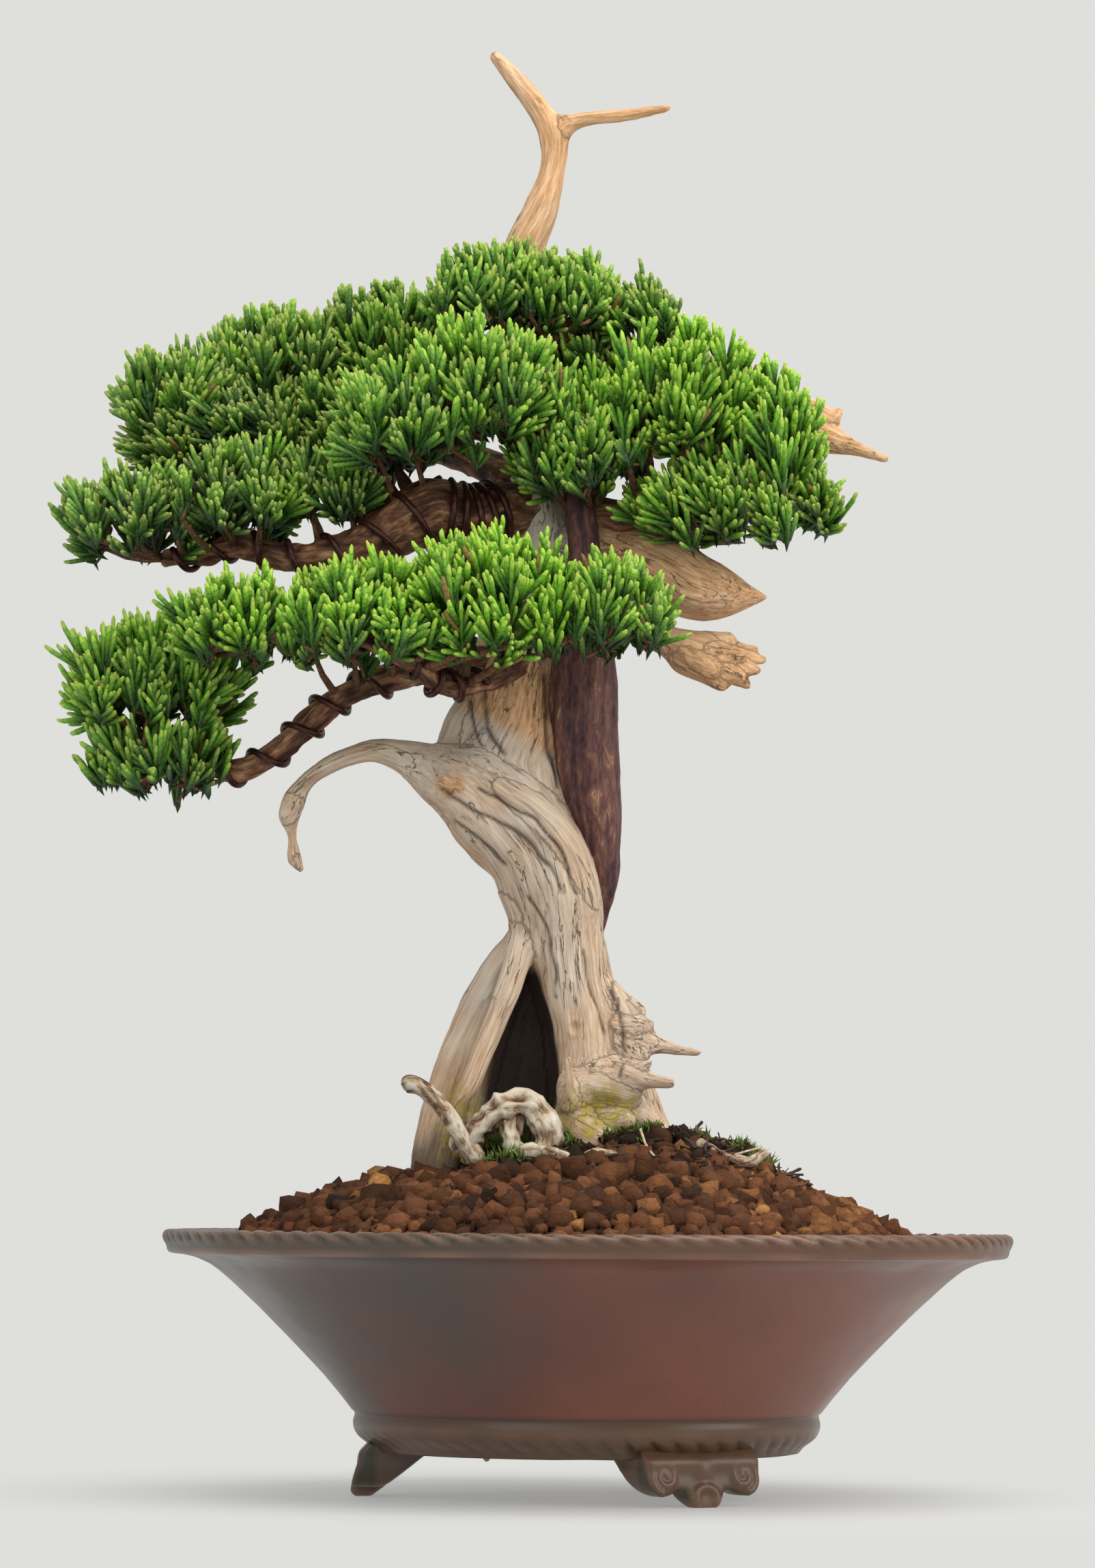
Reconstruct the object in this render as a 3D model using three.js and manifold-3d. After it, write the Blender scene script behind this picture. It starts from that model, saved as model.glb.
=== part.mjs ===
// A small Chinese juniper bonsai in a round, flared, unglazed stoneware pot on three scroll feet.
// Millimetres, +Z up. While the pieces are made the pot's axis is the Z axis and the table is Z = 0;
// at the end the whole group is moved so that the middle of its box's underside is the origin.
import * as THREE from 'three';
import { mergeVertices } from 'three/addons/utils/BufferGeometryUtils.js';
import Module from 'manifold-3d';

const wasm = await Module();
wasm.setup();

// Driving dimensions
const GAP = 0.35; // left between pieces that touch

const RIM_RADIUS = 94.7;
const RIM_HEIGHT = 58.6;
const RIM_BAND = 4.7; // height of the flat band round the rim
const WALL = 5.5; // wall thickness of the pot
const BELT_RADIUS = 52;
const BELT_TOP = 18;
const BELT_BOTTOM = 10;
const FLOOR_TOP = 16; // inside floor of the pot
const POT_SIDES = 40;

const FOOT_AZIMUTHS = [180, -60, 60]; // degrees, one foot at the left and two on the right
const FOOT_TOP = 12.5; // feet run this far up into the belt
const FOOT_ROOT = [35.5, 50]; // inner and outer radius of a foot where it meets the belt
const FOOT_TOE = [46, 51.5]; // and where it meets the table

const HOLE_RADIUS = 8; // drainage holes
const HOLE_OFFSET = 22; // from the pot's axis
const SCREEN_RADIUS = 12;
const SCREEN_THICKNESS = 1;
const CLIP_WIRE = 0.75; // radius of the wire that holds a screen
const CLIP_HEIGHT = 4; // room over the pot's floor for a clip

const TRUNK_FOOT = 66; // the deadwood starts this far up, buried in the soil
const TRAINING_WIRE = 0.85; // radius of the wire wound on the branches
const WINDING_ROOM = 0.5; // between a wire and the bark, over the gap
const TURN_STEPS = 8; // steps in one turn of a wire

const COLOURS = {
  stoneware: [0x654137, 0.55],
  screen: [0x2b2b2b, 0.7],
  clip: [0xa8a8a4, 0.4],
  akadama: [0x6b4028, 0.95],
  moss: [0x46562a, 0.95],
  deadwood: [0xc2ad93, 0.8],
  bark: [0x5f4235, 0.75],
  root: [0x9b8c76, 0.85],
  foliage: [0x4f7a1f, 0.7],
  wire: [0x4a2a22, 0.5],
};

const tree = new THREE.Group();
tree.name = 'bonsai';

// ---------------------------------------------------------------- solids

// A closed three.js geometry as a solid: seams merged and collapsed triangles dropped.
function solid(geometry) {
  geometry.deleteAttribute('normal');
  geometry.deleteAttribute('uv');
  const merged = mergeVertices(geometry, 1e-3);
  const corners = merged.index.array;
  const triangles = [];
  for (let i = 0; i < corners.length; i += 3) {
    const [a, b, c] = [corners[i], corners[i + 1], corners[i + 2]];
    if (a !== b && b !== c && c !== a) triangles.push(a, b, c);
  }
  return new wasm.Manifold(new wasm.Mesh({
    numProp: 3,
    vertProperties: Float32Array.from(merged.getAttribute('position').array),
    triVerts: Uint32Array.from(triangles),
  }));
}

// All the solids of a list joined into one.
function join(solids) {
  return solids.reduce((sum, next) => sum.add(next));
}

// A solid with every solid of a list cut away, keeping its largest piece.
function cut(body, tools) {
  const left = tools.reduce((rest, tool) => rest.subtract(tool), body).decompose();
  return left.reduce((best, next) => (next.volume() > best.volume() ? next : best));
}

// A solid added to the tree as a named mesh with its own material.
function place(name, body, finish) {
  const data = body.getMesh();
  const geometry = new THREE.BufferGeometry();
  const corners = data.numProp;
  const points = new Float32Array((data.vertProperties.length / corners) * 3);
  for (let i = 0; i < points.length / 3; i += 1) {
    points.set(data.vertProperties.subarray(i * corners, i * corners + 3), i * 3);
  }
  geometry.setAttribute('position', new THREE.BufferAttribute(points, 3));
  geometry.setIndex(new THREE.BufferAttribute(Uint32Array.from(data.triVerts), 1));
  geometry.computeVertexNormals();
  const [color, roughness] = COLOURS[finish];
  const metalness = finish === 'clip' ? 1 : 0;
  const mesh = new THREE.Mesh(geometry, new THREE.MeshStandardMaterial({ color, roughness, metalness }));
  mesh.name = name;
  tree.add(mesh);
  return mesh;
}

// A closed profile of [radius, height] points turned about the Z axis.
function turned(profile, sides) {
  const points = profile.map(([radius, height]) => new THREE.Vector2(radius, height));
  return new THREE.LatheGeometry(points, sides).rotateX(Math.PI / 2);
}

// An upright rod between two heights.
function rod(x, y, low, high, radius, sides = 16) {
  const geometry = new THREE.CylinderGeometry(radius, radius, high - low, sides).rotateX(Math.PI / 2);
  return solid(geometry.translate(x, y, (low + high) / 2));
}

// The value of a list at a fraction t of its length, straight between its entries.
function along(values, t) {
  const spot = Math.min(t, 1) * (values.length - 1);
  const index = Math.min(Math.floor(spot), values.length - 2);
  return THREE.MathUtils.lerp(values[index], values[index + 1], spot - index);
}

// Frames along a smooth curve through stations: centre, tangent, side and front at each step.
// The side direction is carried from one ring to the next, so that the tube doesn't twist.
function rings(stations, steps) {
  const curve = new THREE.CatmullRomCurve3(stations.map(([x, y, z]) => new THREE.Vector3(x, y, z)));
  const frames = [];
  let side = new THREE.Vector3(1, 0, 0);
  const start = curve.getTangent(0);
  if (Math.abs(start.x) > 0.8) side = new THREE.Vector3(0, 0, 1);
  for (let i = 0; i <= steps; i += 1) {
    const centre = curve.getPoint(i / steps);
    const tangent = curve.getTangent(i / steps);
    side = side.clone().addScaledVector(tangent, -side.dot(tangent)).normalize();
    frames.push({ centre, tangent, side, front: side.clone().cross(tangent) });
  }
  return frames;
}

// A limb: a cylinder whose rings are carried along the stations, each [x, y, z, radius].
// grow thickens it all round and at both ends.
function limb(stations, { sides = 8, steps = 10, grow = 0 } = {}) {
  const frames = rings(stations, steps);
  const radii = stations.map(station => station[3]);
  const tube = new THREE.CylinderGeometry(1, 1, 1, sides, steps);
  const points = tube.getAttribute('position');
  for (let i = 0; i < points.count; i += 1) {
    const t = points.getY(i) + 0.5;
    const frame = frames[Math.round(t * steps)];
    const radius = along(radii, t) + grow;
    const end = t < 1e-6 ? -grow : (t > 1 - 1e-6 ? grow : 0);
    const point = frame.centre.clone()
      .addScaledVector(frame.side, points.getX(i) * radius)
      .addScaledVector(frame.front, points.getZ(i) * radius)
      .addScaledVector(frame.tangent, end);
    points.setXYZ(i, point.x, point.y, point.z);
  }
  return solid(tube);
}

// A faceted ellipsoid lobe [x, y, z, half width, half depth, half height].
function lobe([x, y, z, width, depth, height], grow = 0) {
  const ball = new THREE.IcosahedronGeometry(1.04, 1);
  return solid(ball.scale(width + grow, depth + grow, height + grow).translate(x, y, z));
}

// ---------------------------------------------------------------- pot

// The outside of the pot from its underside up to the lip, as [radius, height].
function potOutside() {
  return [
    [0, BELT_BOTTOM],
    [BELT_RADIUS - 5, BELT_BOTTOM],
    [BELT_RADIUS - 2.2, BELT_BOTTOM + 2.4],
    [BELT_RADIUS, BELT_BOTTOM + 4.6],
    [BELT_RADIUS, BELT_TOP],
    [66.3, 34.6],
    [78.8, 46.8],
    [82.7, 50],
    [RIM_RADIUS - 7.8, RIM_HEIGHT - RIM_BAND - 1.7],
    [RIM_RADIUS - 1.2, RIM_HEIGHT - RIM_BAND],
    [RIM_RADIUS, RIM_HEIGHT - 1.4],
    [RIM_RADIUS - 1, RIM_HEIGHT],
  ];
}

// The inside of the pot from the lip down to the middle of its floor; grow moves it inwards.
function potInside(grow = 0) {
  return [
    [RIM_RADIUS - 5.5 - grow, RIM_HEIGHT - 0.2],
    [RIM_RADIUS - 9 - grow, RIM_HEIGHT - 2.4],
    [78.8 - WALL * 0.4 - grow, 46.8 + WALL * 0.6],
    [66.3 - WALL * 0.7 - grow, 34.6 + WALL * 0.7],
    [BELT_RADIUS - WALL * 0.7 - grow, FLOOR_TOP + 5],
    [BELT_RADIUS - WALL - 2 - grow, FLOOR_TOP + grow],
    [0, FLOOR_TOP + grow],
  ];
}

// One scroll foot: its outline is cut as a slab one unit thick, stood up, and drawn in towards the
// toe, so that it flares outwards and gets thinner as it goes down.
function foot(azimuth) {
  const outline = new THREE.Shape();
  outline.moveTo(-14.5, FOOT_TOP);
  outline.lineTo(-15.2, 7.5);
  outline.absarc(-10.8, 6.3, 3.9, Math.PI, 1.75 * Math.PI);
  outline.lineTo(-4.8, 3);
  outline.lineTo(-2.8, 0);
  outline.lineTo(2.8, 0);
  outline.lineTo(4.8, 3);
  outline.absarc(10.8, 6.3, 3.9, 1.25 * Math.PI, 2 * Math.PI);
  outline.lineTo(14.5, FOOT_TOP);
  const slab = new THREE.ExtrudeGeometry(outline, { depth: 1, bevelEnabled: false, curveSegments: 4 });
  slab.rotateX(Math.PI / 2).rotateZ(Math.PI / 2);
  const points = slab.getAttribute('position');
  for (let i = 0; i < points.count; i += 1) {
    const height = points.getZ(i) / FOOT_TOP;
    const inner = THREE.MathUtils.lerp(FOOT_TOE[0], FOOT_ROOT[0], height);
    const outer = THREE.MathUtils.lerp(FOOT_TOE[1], FOOT_ROOT[1], height);
    points.setX(i, THREE.MathUtils.lerp(inner, outer, points.getX(i)));
  }
  return solid(slab.rotateZ(THREE.MathUtils.degToRad(azimuth)));
}

function pot() {
  const shell = solid(turned([...potOutside(), ...potInside()], POT_SIDES));
  const holes = [-1, 1].map(side => rod(side * HOLE_OFFSET, 0, 0, 30, HOLE_RADIUS));
  return cut(join([shell, ...FOOT_AZIMUTHS.map(foot)]), holes);
}

// A plastic screen lies on the floor over a drainage hole, with two slots for its clip.
function drainScreen(x) {
  const low = FLOOR_TOP + GAP;
  const slots = [-1, 1].map(side => rod(x, side * 5.5, low - 1, low + 3, CLIP_WIRE + GAP, 6));
  return cut(rod(x, 0, low, low + SCREEN_THICKNESS, SCREEN_RADIUS), slots);
}

// The clip is one bent wire: a bridge over the screen, two legs down the hole, and a foot
// turned out under the pot on each side.
function drainClip(x) {
  const top = FLOOR_TOP + GAP + SCREEN_THICKNESS + GAP + CLIP_WIRE;
  const bottom = BELT_BOTTOM - GAP - CLIP_WIRE;
  const leg = side => [
    [x, side * 12.5, bottom, CLIP_WIRE],
    [x, side * 6.2, bottom, CLIP_WIRE],
    [x, side * 5.5, bottom + 1, CLIP_WIRE],
    [x, side * 5.5, top - 1, CLIP_WIRE],
    [x, side * 4.6, top, CLIP_WIRE],
  ];
  return limb([...leg(-1), ...leg(1).reverse()], { sides: 5, steps: 18 });
}

// ---------------------------------------------------------------- soil and moss

// Heights of the heaped soil from the pot's axis out to its edge, in equal steps of radius.
const SOIL_EDGE = 82;
const SOIL_LEFT = [78, 76, 72.5, 70, 68.5, 66, 61.5, 56];
const SOIL_RIGHT = [78, 80, 79, 73.8, 68.5, 62.5, 58.5, 55.5];

// Height of the soil at a place: the left and right profiles blended round the pot.
function soilHeight(x, y) {
  const radius = Math.hypot(x, y);
  const rightness = radius < 1e-6 ? 0.5 : 0.5 + (0.5 * x) / radius;
  const t = radius / SOIL_EDGE;
  return THREE.MathUtils.lerp(along(SOIL_LEFT, t), along(SOIL_RIGHT, t), rightness);
}

// The soil fills the pot and heaps up round the trunk; lift raises its top.
function soilMound(lift = 0) {
  const walls = potInside(GAP).slice(2).reverse();
  const tops = SOIL_LEFT.map((_, i) => [(SOIL_EDGE * i) / (SOIL_LEFT.length - 1), 0]).reverse();
  const geometry = turned([...walls, ...tops], 30);
  const points = geometry.getAttribute('position');
  const count = walls.length + tops.length;
  for (let i = 0; i < points.count; i += 1) {
    if (i % count >= walls.length) {
      points.setZ(i, soilHeight(points.getX(i), points.getY(i)) + lift);
    }
  }
  return solid(geometry);
}

const MOSS = {
  moss_left: [[-14.2, -10, 76, 13, 7, 4.5], [-3.2, -13, 77, 9, 6, 4]],
  moss_right: [[15.8, -9, 79, 9, 8, 4], [26.8, -6, 75.5, 10, 8, 6], [34.8, -4, 73, 6, 6, 4.5]],
};

// ---------------------------------------------------------------- deadwood

// Stations [x, y, z, radius] of the bleached wood, which is one grown piece.
const TRUNK = [
  [3.8, 2, TRUNK_FOOT, 15], [2.8, 2, 79, 13], [1.8, 1, 89, 11], [-0.2, 0, 101, 10.2], [-2.9, 0, 113, 10],
  [-5.2, 0, 124, 10.4], [-8.4, 0, 135, 11.2], [-13.7, 1, 145, 12.4],
  [-19.2, 1, 153, 13], [-23.2, 2, 161, 13],
  [-21.2, 4, 171, 12.6], [-18.7, 5, 182, 11.6], [-15.9, 6, 195, 9.7], [-11.6, 8, 209, 7.5],
  [-11.8, 9, 223, 6.2], [-13.7, 9, 238, 5], [-16.5, 8, 252, 4.4], [-18.2, 8, 266, 4.4],
  [-16.2, 6, 280, 5],
];
const APEX_JIN = [
  [-17.7, 7, 273, 4.4], [-16.2, 6, 280, 5], [-12.2, 6, 289, 4.3],
  [-9.8, 6, 298, 3.2], [-9.3, 6, 305, 3.4],
  [-12.6, 6, 312.4, 3.2], [-18.4, 6, 319.6, 2.3], [-23.2, 6, 325, 1.4],
];
const APEX_JIN_RIGHT = [
  [-9.4, 6, 305, 2.4], [-6.7, 5.5, 308.6, 2.6], [-1.9, 4, 310, 2],
  [7, 2, 310.6, 1.7], [16.2, 0, 312, 1.3],
];
const LEFT_JIN = [
  [-25.2, -1, 159, 9], [-34.2, -2, 161.5, 5.6], [-40.2, -4, 164.6, 3.6], [-48, -6, 165.6, 2.3],
  [-54.9, -8, 163.8, 2], [-61, -9, 160.4, 1.9], [-65.2, -10, 156.3, 2], [-66.9, -10, 151.5, 1.7],
  [-66.2, -10, 144.6, 1.2], [-65.9, -10, 138.8, 1.3],
];
const BUTTRESS_LEFT = [
  [-9.2, 1, 133, 5.4], [-14.4, 2, 124.5, 4.4], [-20.5, 4, 116, 4.6],
  [-25.7, 6, 106, 4.9], [-29.1, 7, 95.6, 5.4],
  [-32.2, 8, 83, 6], [-33.2, 8, 67, 7],
];
const BUTTRESS_STRAND = [
  [-9.8, -6, 132, 3.4], [-13.6, -8, 123, 2.7], [-16.9, -9, 114.5, 2.6], [-20.2, -10, 104, 2.3],
  [-23.6, -11, 94.4, 2.2], [-26.7, -11, 86, 2.2], [-29.2, -9, 71, 3],
];
const BUTTRESS_BACK = [
  [-5.2, 6, 119, 7], [-13.2, 13, 99, 7], [-18.2, 17, 81, 7.5], [-20.2, 18, 67, 8],
];
const BUTTRESS_RIGHT = [
  [4.8, 2, 99, 7], [13.8, 1, 87, 6], [22.8, 0, 77, 5.5], [28.8, 0, 67, 5],
];
const STUB_UPPER = [
  [-10.2, 7, 213, 5], [2.5, 6, 212.5, 5.3], [13.1, 4, 208.8, 7.6],
  [23.7, 2, 203.4, 7.8], [32.4, 0, 201.5, 4.4],
  [39.1, -2, 201, 0.9],
];
const STUB_LOWER = [
  [-13.2, 6, 198, 5], [7.9, 6, 194.6, 3.6], [18.5, 4, 191, 3.8], [26.4, 2, 188, 5.6], [32.6, 1, 185, 6],
  [36.1, 0, 185.6, 4.4],
];
const STUB_FAR = [
  [-11.2, 9, 227, 3], [-2.9, 12, 231, 1.8], [25.7, 22, 239.6, 1.8], [47.4, 26, 244.8, 2.4],
  [54.6, 26, 240.3, 2.8], [61.8, 26, 238.2, 2], [67.2, 26, 236, 0.9],
];
const SNAGS = [
  [[0.8, -4, 107, 5], [8.5, -6, 108, 3.6], [11.8, -8, 106, 2.4]],
  [[2.8, -4, 101, 5], [13.7, -6, 100.9, 2.8], [23.8, -8, 99.6, 1]],
  [[0.8, -6, 93, 5], [7.8, -12, 93.8, 2.6], [17.2, -14, 92, 1.2]],
  [[-2.2, -4, 83, 6], [-3.8, -13, 88, 1.6], [-4.8, -14.5, 97, 1.1]],
];

// The bleached wood, grown by a margin where it is used to cut its neighbours.
function deadwood(grow = 0) {
  const thin = [APEX_JIN_RIGHT, BUTTRESS_STRAND, STUB_FAR];
  const stout = [BUTTRESS_LEFT, BUTTRESS_BACK, BUTTRESS_RIGHT, STUB_UPPER, STUB_LOWER];
  return join([
    limb(TRUNK, { sides: 9, steps: 22, grow }),
    limb(APEX_JIN, { sides: 7, steps: 8, grow }),
    limb(LEFT_JIN, { sides: 6, steps: 11, grow }),
    ...thin.map(stations => limb(stations, { sides: 5, steps: 7, grow })),
    ...stout.map(stations => limb(stations, { sides: 7, steps: 6, grow })),
    ...SNAGS.map(stations => limb(stations, { sides: 5, steps: 3, grow })),
  ]);
}

// ---------------------------------------------------------------- live vein, roots and branches

// The strip of living bark up the right of the trunk.
const LIVE_VEIN = [
  [4.6, 9, 125, 1], [4.4, 7, 131, 2.6], [3.2, 5, 139, 4], [1.8, 3, 149, 5.4], [-0.4, 1, 160, 6.8],
  [-1.2, 0, 171.7, 7.2], [-0.6, 0, 183, 7], [-1.4, 0, 194, 4.2], [-2.2, 0, 205, 3], [-2.2, 0.5, 216, 3.4],
  [-3.2, 3, 227, 2.6],
];

const ROOTS = {
  root_crossing: [
    [-43.2, -14, 91.4, 1.5], [-38.2, -15, 90.4, 1.5], [-33.2, -17, 85.5, 1.3], [-28.2, -18.5, 79, 1.4],
    [-23.7, -19, 73.5, 1.8],
  ],
  root_loop: [
    [-26.2, -17, 77, 2.2], [-23.7, -18, 83.5, 2.1], [-17.2, -18, 87.6, 2.5], [-10.7, -18, 86, 2.2],
    [-8.7, -19, 79, 2.4], [-9.2, -19, 73, 2.4],
  ],
  root_surface: [
    [-18.2, -24, 75, 1.1], [-10.2, -25, 77, 1.3], [-3.2, -27, 74.5, 1.4],
    [3.8, -26, 75.6, 1.3], [8.3, -27, 71, 1.4],
  ],
  root_right: [
    [23.8, -16, 79, 1.1], [29.8, -17, 76, 1.1], [34.8, -18, 74, 1.3], [39.8, -16, 76.5, 0.9],
  ],
};

const BRANCHES = {
  branch_upper_left: [
    [-13.2, 6, 221, 5], [-27.2, 2, 220, 7], [-44.2, -2, 216, 6.6],
    [-57.2, -4, 210, 4.4], [-67.2, -5, 209, 3],
    [-79.7, -4, 211.5, 2.6], [-97.2, 0, 209, 2],
  ],
  branch_lower_left: [
    [-17.2, 2, 187, 4], [-31.2, -1, 185, 3.4], [-44.2, -3, 182.4, 3],
    [-55.2, -4, 178, 2.6], [-62.2, -4, 172.6, 2.6],
    [-69.2, -4, 166, 2.5], [-79.7, -4, 161, 2.3], [-95.2, -4, 165, 2],
  ],
  branch_lower_front: [
    [-15.2, -2, 185, 3.4], [-23.2, -14, 180.5, 2.4], [-33.2, -24, 179, 2.2], [-39.2, -31, 183, 2],
    [-53.2, -32, 189, 1.8], [-71.2, -28, 189, 1.5],
  ],
  branch_lower_right: [
    [-3.2, -2, 199, 3], [-4.2, -14, 199, 2.2], [0.8, -24, 199, 1.8], [10.8, -27, 197, 1.4],
  ],
  branch_middle: [
    [-12.2, 6, 235, 3.4], [-19.2, -4, 238, 2.4], [-28.2, -16, 242, 2], [-39.2, -22, 241, 1.5],
  ],
  branch_upper_right: [
    [-4.2, 5, 219, 4], [7.8, 5, 219.4, 3.6], [18.8, 4, 221.2, 3],
    [30.8, 3, 223, 2.4], [42.8, 3, 226, 1.6],
  ],
  branch_back: [
    [-13.2, 12, 227, 4.4], [-29.2, 22, 235, 3.4], [-51.2, 27, 242, 2.8],
    [-73.2, 26, 245, 2.2], [-91.2, 22, 244, 1.6],
  ],
  branch_apex: [
    [-15.2, 5, 253, 3.4], [-9.2, 2, 259, 2], [-3.2, 3, 264, 1.6], [4.8, 5, 265, 1.2],
  ],
};

// Which branches are wound with wire: how far along the wire runs and how many turns it takes.
const WIRES = {
  wire_upper_left: ['branch_upper_left', 0.3, 0.97, 7],
  wire_lower_left: ['branch_lower_left', 0.34, 0.97, 7],
  wire_lower_front: ['branch_lower_front', 0.3, 0.75, 5],
  wire_upper_right: ['branch_upper_right', 0.58, 0.97, 4],
};

function branch(stations, grow = 0) {
  return limb(stations, { sides: 6, steps: 9, grow });
}

// A wire wound on a branch: a thin limb along a helix that stands clear of the bark.
function winding(stations, from, to, turns) {
  const clear = TRAINING_WIRE + GAP + WINDING_ROOM;
  const steps = turns * TURN_STEPS;
  const frames = rings(stations, 200);
  const radii = stations.map(station => station[3]);
  const helix = [];
  for (let i = 0; i <= steps; i += 1) {
    const t = from + ((to - from) * i) / steps;
    const frame = frames[Math.round(t * 200)];
    const angle = (i / TURN_STEPS) * 2 * Math.PI;
    const reach = along(radii, t) + clear;
    const point = frame.centre.clone()
      .addScaledVector(frame.side, Math.cos(angle) * reach)
      .addScaledVector(frame.front, Math.sin(angle) * reach);
    helix.push([point.x, point.y, point.z, TRAINING_WIRE]);
  }
  return limb(helix, { sides: 4, steps });
}

// ---------------------------------------------------------------- foliage

// Each pad is a cloud of shoots, stood in for by joined lobes.
const FOLIAGE = {
  foliage_apex: [[-23, 1, 270, 15, 14, 12], [-7, 2, 269, 14, 13, 12], [11, 4, 264, 9, 9, 8]],
  foliage_upper_left: [
    [-91, 18, 248, 18, 18, 14], [-70, 24, 254, 22, 21, 17], [-47, 22, 259, 20, 19, 16],
  ],
  foliage_middle_left: [[-102, -2, 222, 18, 15, 11], [-80, -4, 228, 19, 17, 12]],
  foliage_middle: [[-40, -16, 240, 18, 16, 13], [-24, -14, 247, 18, 17, 17]],
  foliage_right: [
    [20, 0, 247, 20, 21, 17], [2, 0, 239, 15, 17, 15], [38, 2, 234, 18, 19, 22],
    [26, -6, 222, 20, 16, 11],
  ],
  foliage_lower_left: [[-98, -6, 182, 21, 19, 15], [-90, -7, 166, 15, 15, 12]],
  foliage_lower_middle: [
    [-75, -26, 193, 18, 17, 12], [-50, -30, 195, 20, 18, 14], [-25, -31, 200, 19, 18, 17],
  ],
  foliage_lower_right: [[3, -27, 199, 19, 16, 14]],
};

function pad(lobes, grow = 0) {
  return join(lobes.map(shape => lobe(shape, grow)));
}

// ---------------------------------------------------------------- assembly

place('pot', pot(), 'stoneware');
[['left', -HOLE_OFFSET], ['right', HOLE_OFFSET]].forEach(([side, x]) => {
  place(`drain_mesh_${side}`, drainScreen(x), 'screen');
  place(`drain_clip_${side}`, drainClip(x), 'clip');
});

const wood = deadwood();
const woodMargin = deadwood(GAP);
const vein = cut(limb(LIVE_VEIN, { sides: 8, steps: 14 }), [woodMargin]);
const veinMargin = limb(LIVE_VEIN, { sides: 8, steps: 14, grow: GAP });
place('deadwood', wood, 'deadwood');
place('live_vein', vein, 'bark');

const root = (stations, grow = 0) => limb(stations, { sides: 6, steps: 10, grow });
const rootMargins = Object.values(ROOTS).map(stations => root(stations, GAP));
Object.entries(ROOTS).forEach(([name, stations], i) => {
  place(name, cut(root(stations), [woodMargin, ...rootMargins.slice(0, i)]), 'root');
});

// The soil keeps clear of the clips, which stand a little above the floor of the pot.
const clipRoom = [-1, 1].map(side => (
  rod(side * HOLE_OFFSET, 0, FLOOR_TOP - 1, FLOOR_TOP + CLIP_HEIGHT, SCREEN_RADIUS + 1.5)));
place('soil', cut(soilMound(), [woodMargin, ...rootMargins, ...clipRoom]), 'akadama');
const soilMargin = soilMound(GAP);
Object.entries(MOSS).forEach(([name, lobes]) => {
  place(name, cut(pad(lobes), [soilMargin, woodMargin, ...rootMargins]), 'moss');
});

// Branches start at the wood or the vein; each keeps clear of the ones before it.
const branchMargins = Object.values(BRANCHES).map(stations => branch(stations, GAP));
Object.entries(BRANCHES).forEach(([name, stations], i) => {
  place(name, cut(branch(stations), [woodMargin, veinMargin, ...branchMargins.slice(0, i)]), 'bark');
});
Object.entries(WIRES).forEach(([name, [on, from, to, turns]]) => {
  place(name, winding(BRANCHES[on], from, to, turns), 'wire');
});

// Pads are open inside where the wood, the branches and their wires pass.
const sleeves = Object.values(BRANCHES).map(stations => (
  limb(stations, { sides: 6, steps: 8, grow: 2 * TRAINING_WIRE + 2.2 })));
const woodSleeves = [TRUNK, APEX_JIN, STUB_UPPER, STUB_LOWER, STUB_FAR, LIVE_VEIN].map(stations => (
  limb(stations, { sides: 6, steps: stations.length - 1, grow: 2.2 })));
const padMargins = Object.values(FOLIAGE).map(lobes => pad(lobes, GAP));
Object.entries(FOLIAGE).forEach(([name, lobes], i) => {
  const tools = [...woodSleeves, ...sleeves, ...padMargins.slice(0, i)];
  place(name, cut(pad(lobes), tools), 'foliage');
});

// The middle of the underside of the whole box becomes the origin.
const box = new THREE.Box3().setFromObject(tree);
const middle = box.getCenter(new THREE.Vector3());
tree.position.set(-middle.x, -middle.y, -box.min.z);

export default tree;
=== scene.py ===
import bpy
import numpy as np
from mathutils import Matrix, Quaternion, Vector


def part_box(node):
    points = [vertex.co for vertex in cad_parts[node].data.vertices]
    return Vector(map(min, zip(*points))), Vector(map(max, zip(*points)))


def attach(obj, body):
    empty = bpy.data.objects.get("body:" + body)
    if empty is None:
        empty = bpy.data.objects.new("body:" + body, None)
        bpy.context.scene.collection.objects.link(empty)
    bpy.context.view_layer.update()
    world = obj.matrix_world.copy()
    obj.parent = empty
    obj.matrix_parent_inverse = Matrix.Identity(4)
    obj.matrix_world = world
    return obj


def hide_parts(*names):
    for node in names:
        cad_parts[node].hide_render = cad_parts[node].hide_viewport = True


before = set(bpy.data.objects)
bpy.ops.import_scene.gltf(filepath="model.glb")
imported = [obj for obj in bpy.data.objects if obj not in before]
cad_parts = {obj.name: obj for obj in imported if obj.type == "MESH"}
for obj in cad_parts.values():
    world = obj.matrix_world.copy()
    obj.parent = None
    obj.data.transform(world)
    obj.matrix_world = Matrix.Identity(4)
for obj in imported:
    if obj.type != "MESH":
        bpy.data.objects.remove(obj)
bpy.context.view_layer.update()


# ---------------------------------------------------------------- table, light and camera
# A pale paper-covered table under a large overhead softbox, with white walls all round. The eye is
# level with the soil, a metre and a third away, looking slightly up at the crown.

POT_LOW, POT_HIGH = (np.array(corner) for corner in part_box("pot"))
AXIS = np.array([*(POT_LOW + POT_HIGH)[:2] / 2, POT_LOW[2]])  # the pot's axis, on the table


def in_scene(points):
    """Points in millimetres from the pot's axis and the table, as metres in the scene."""
    return AXIS + np.asarray(points, float) / 1000


def linear(code, alpha=1.0):
    """An sRGB hex colour as linear red, green, blue and alpha."""
    parts = np.array([int(code[i:i + 2], 16) / 255 for i in (1, 3, 5)])
    light = np.where(parts <= 0.04045, parts / 12.92, ((parts + 0.055) / 1.055) ** 2.4)
    return (*(float(part) for part in light), alpha)


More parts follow.
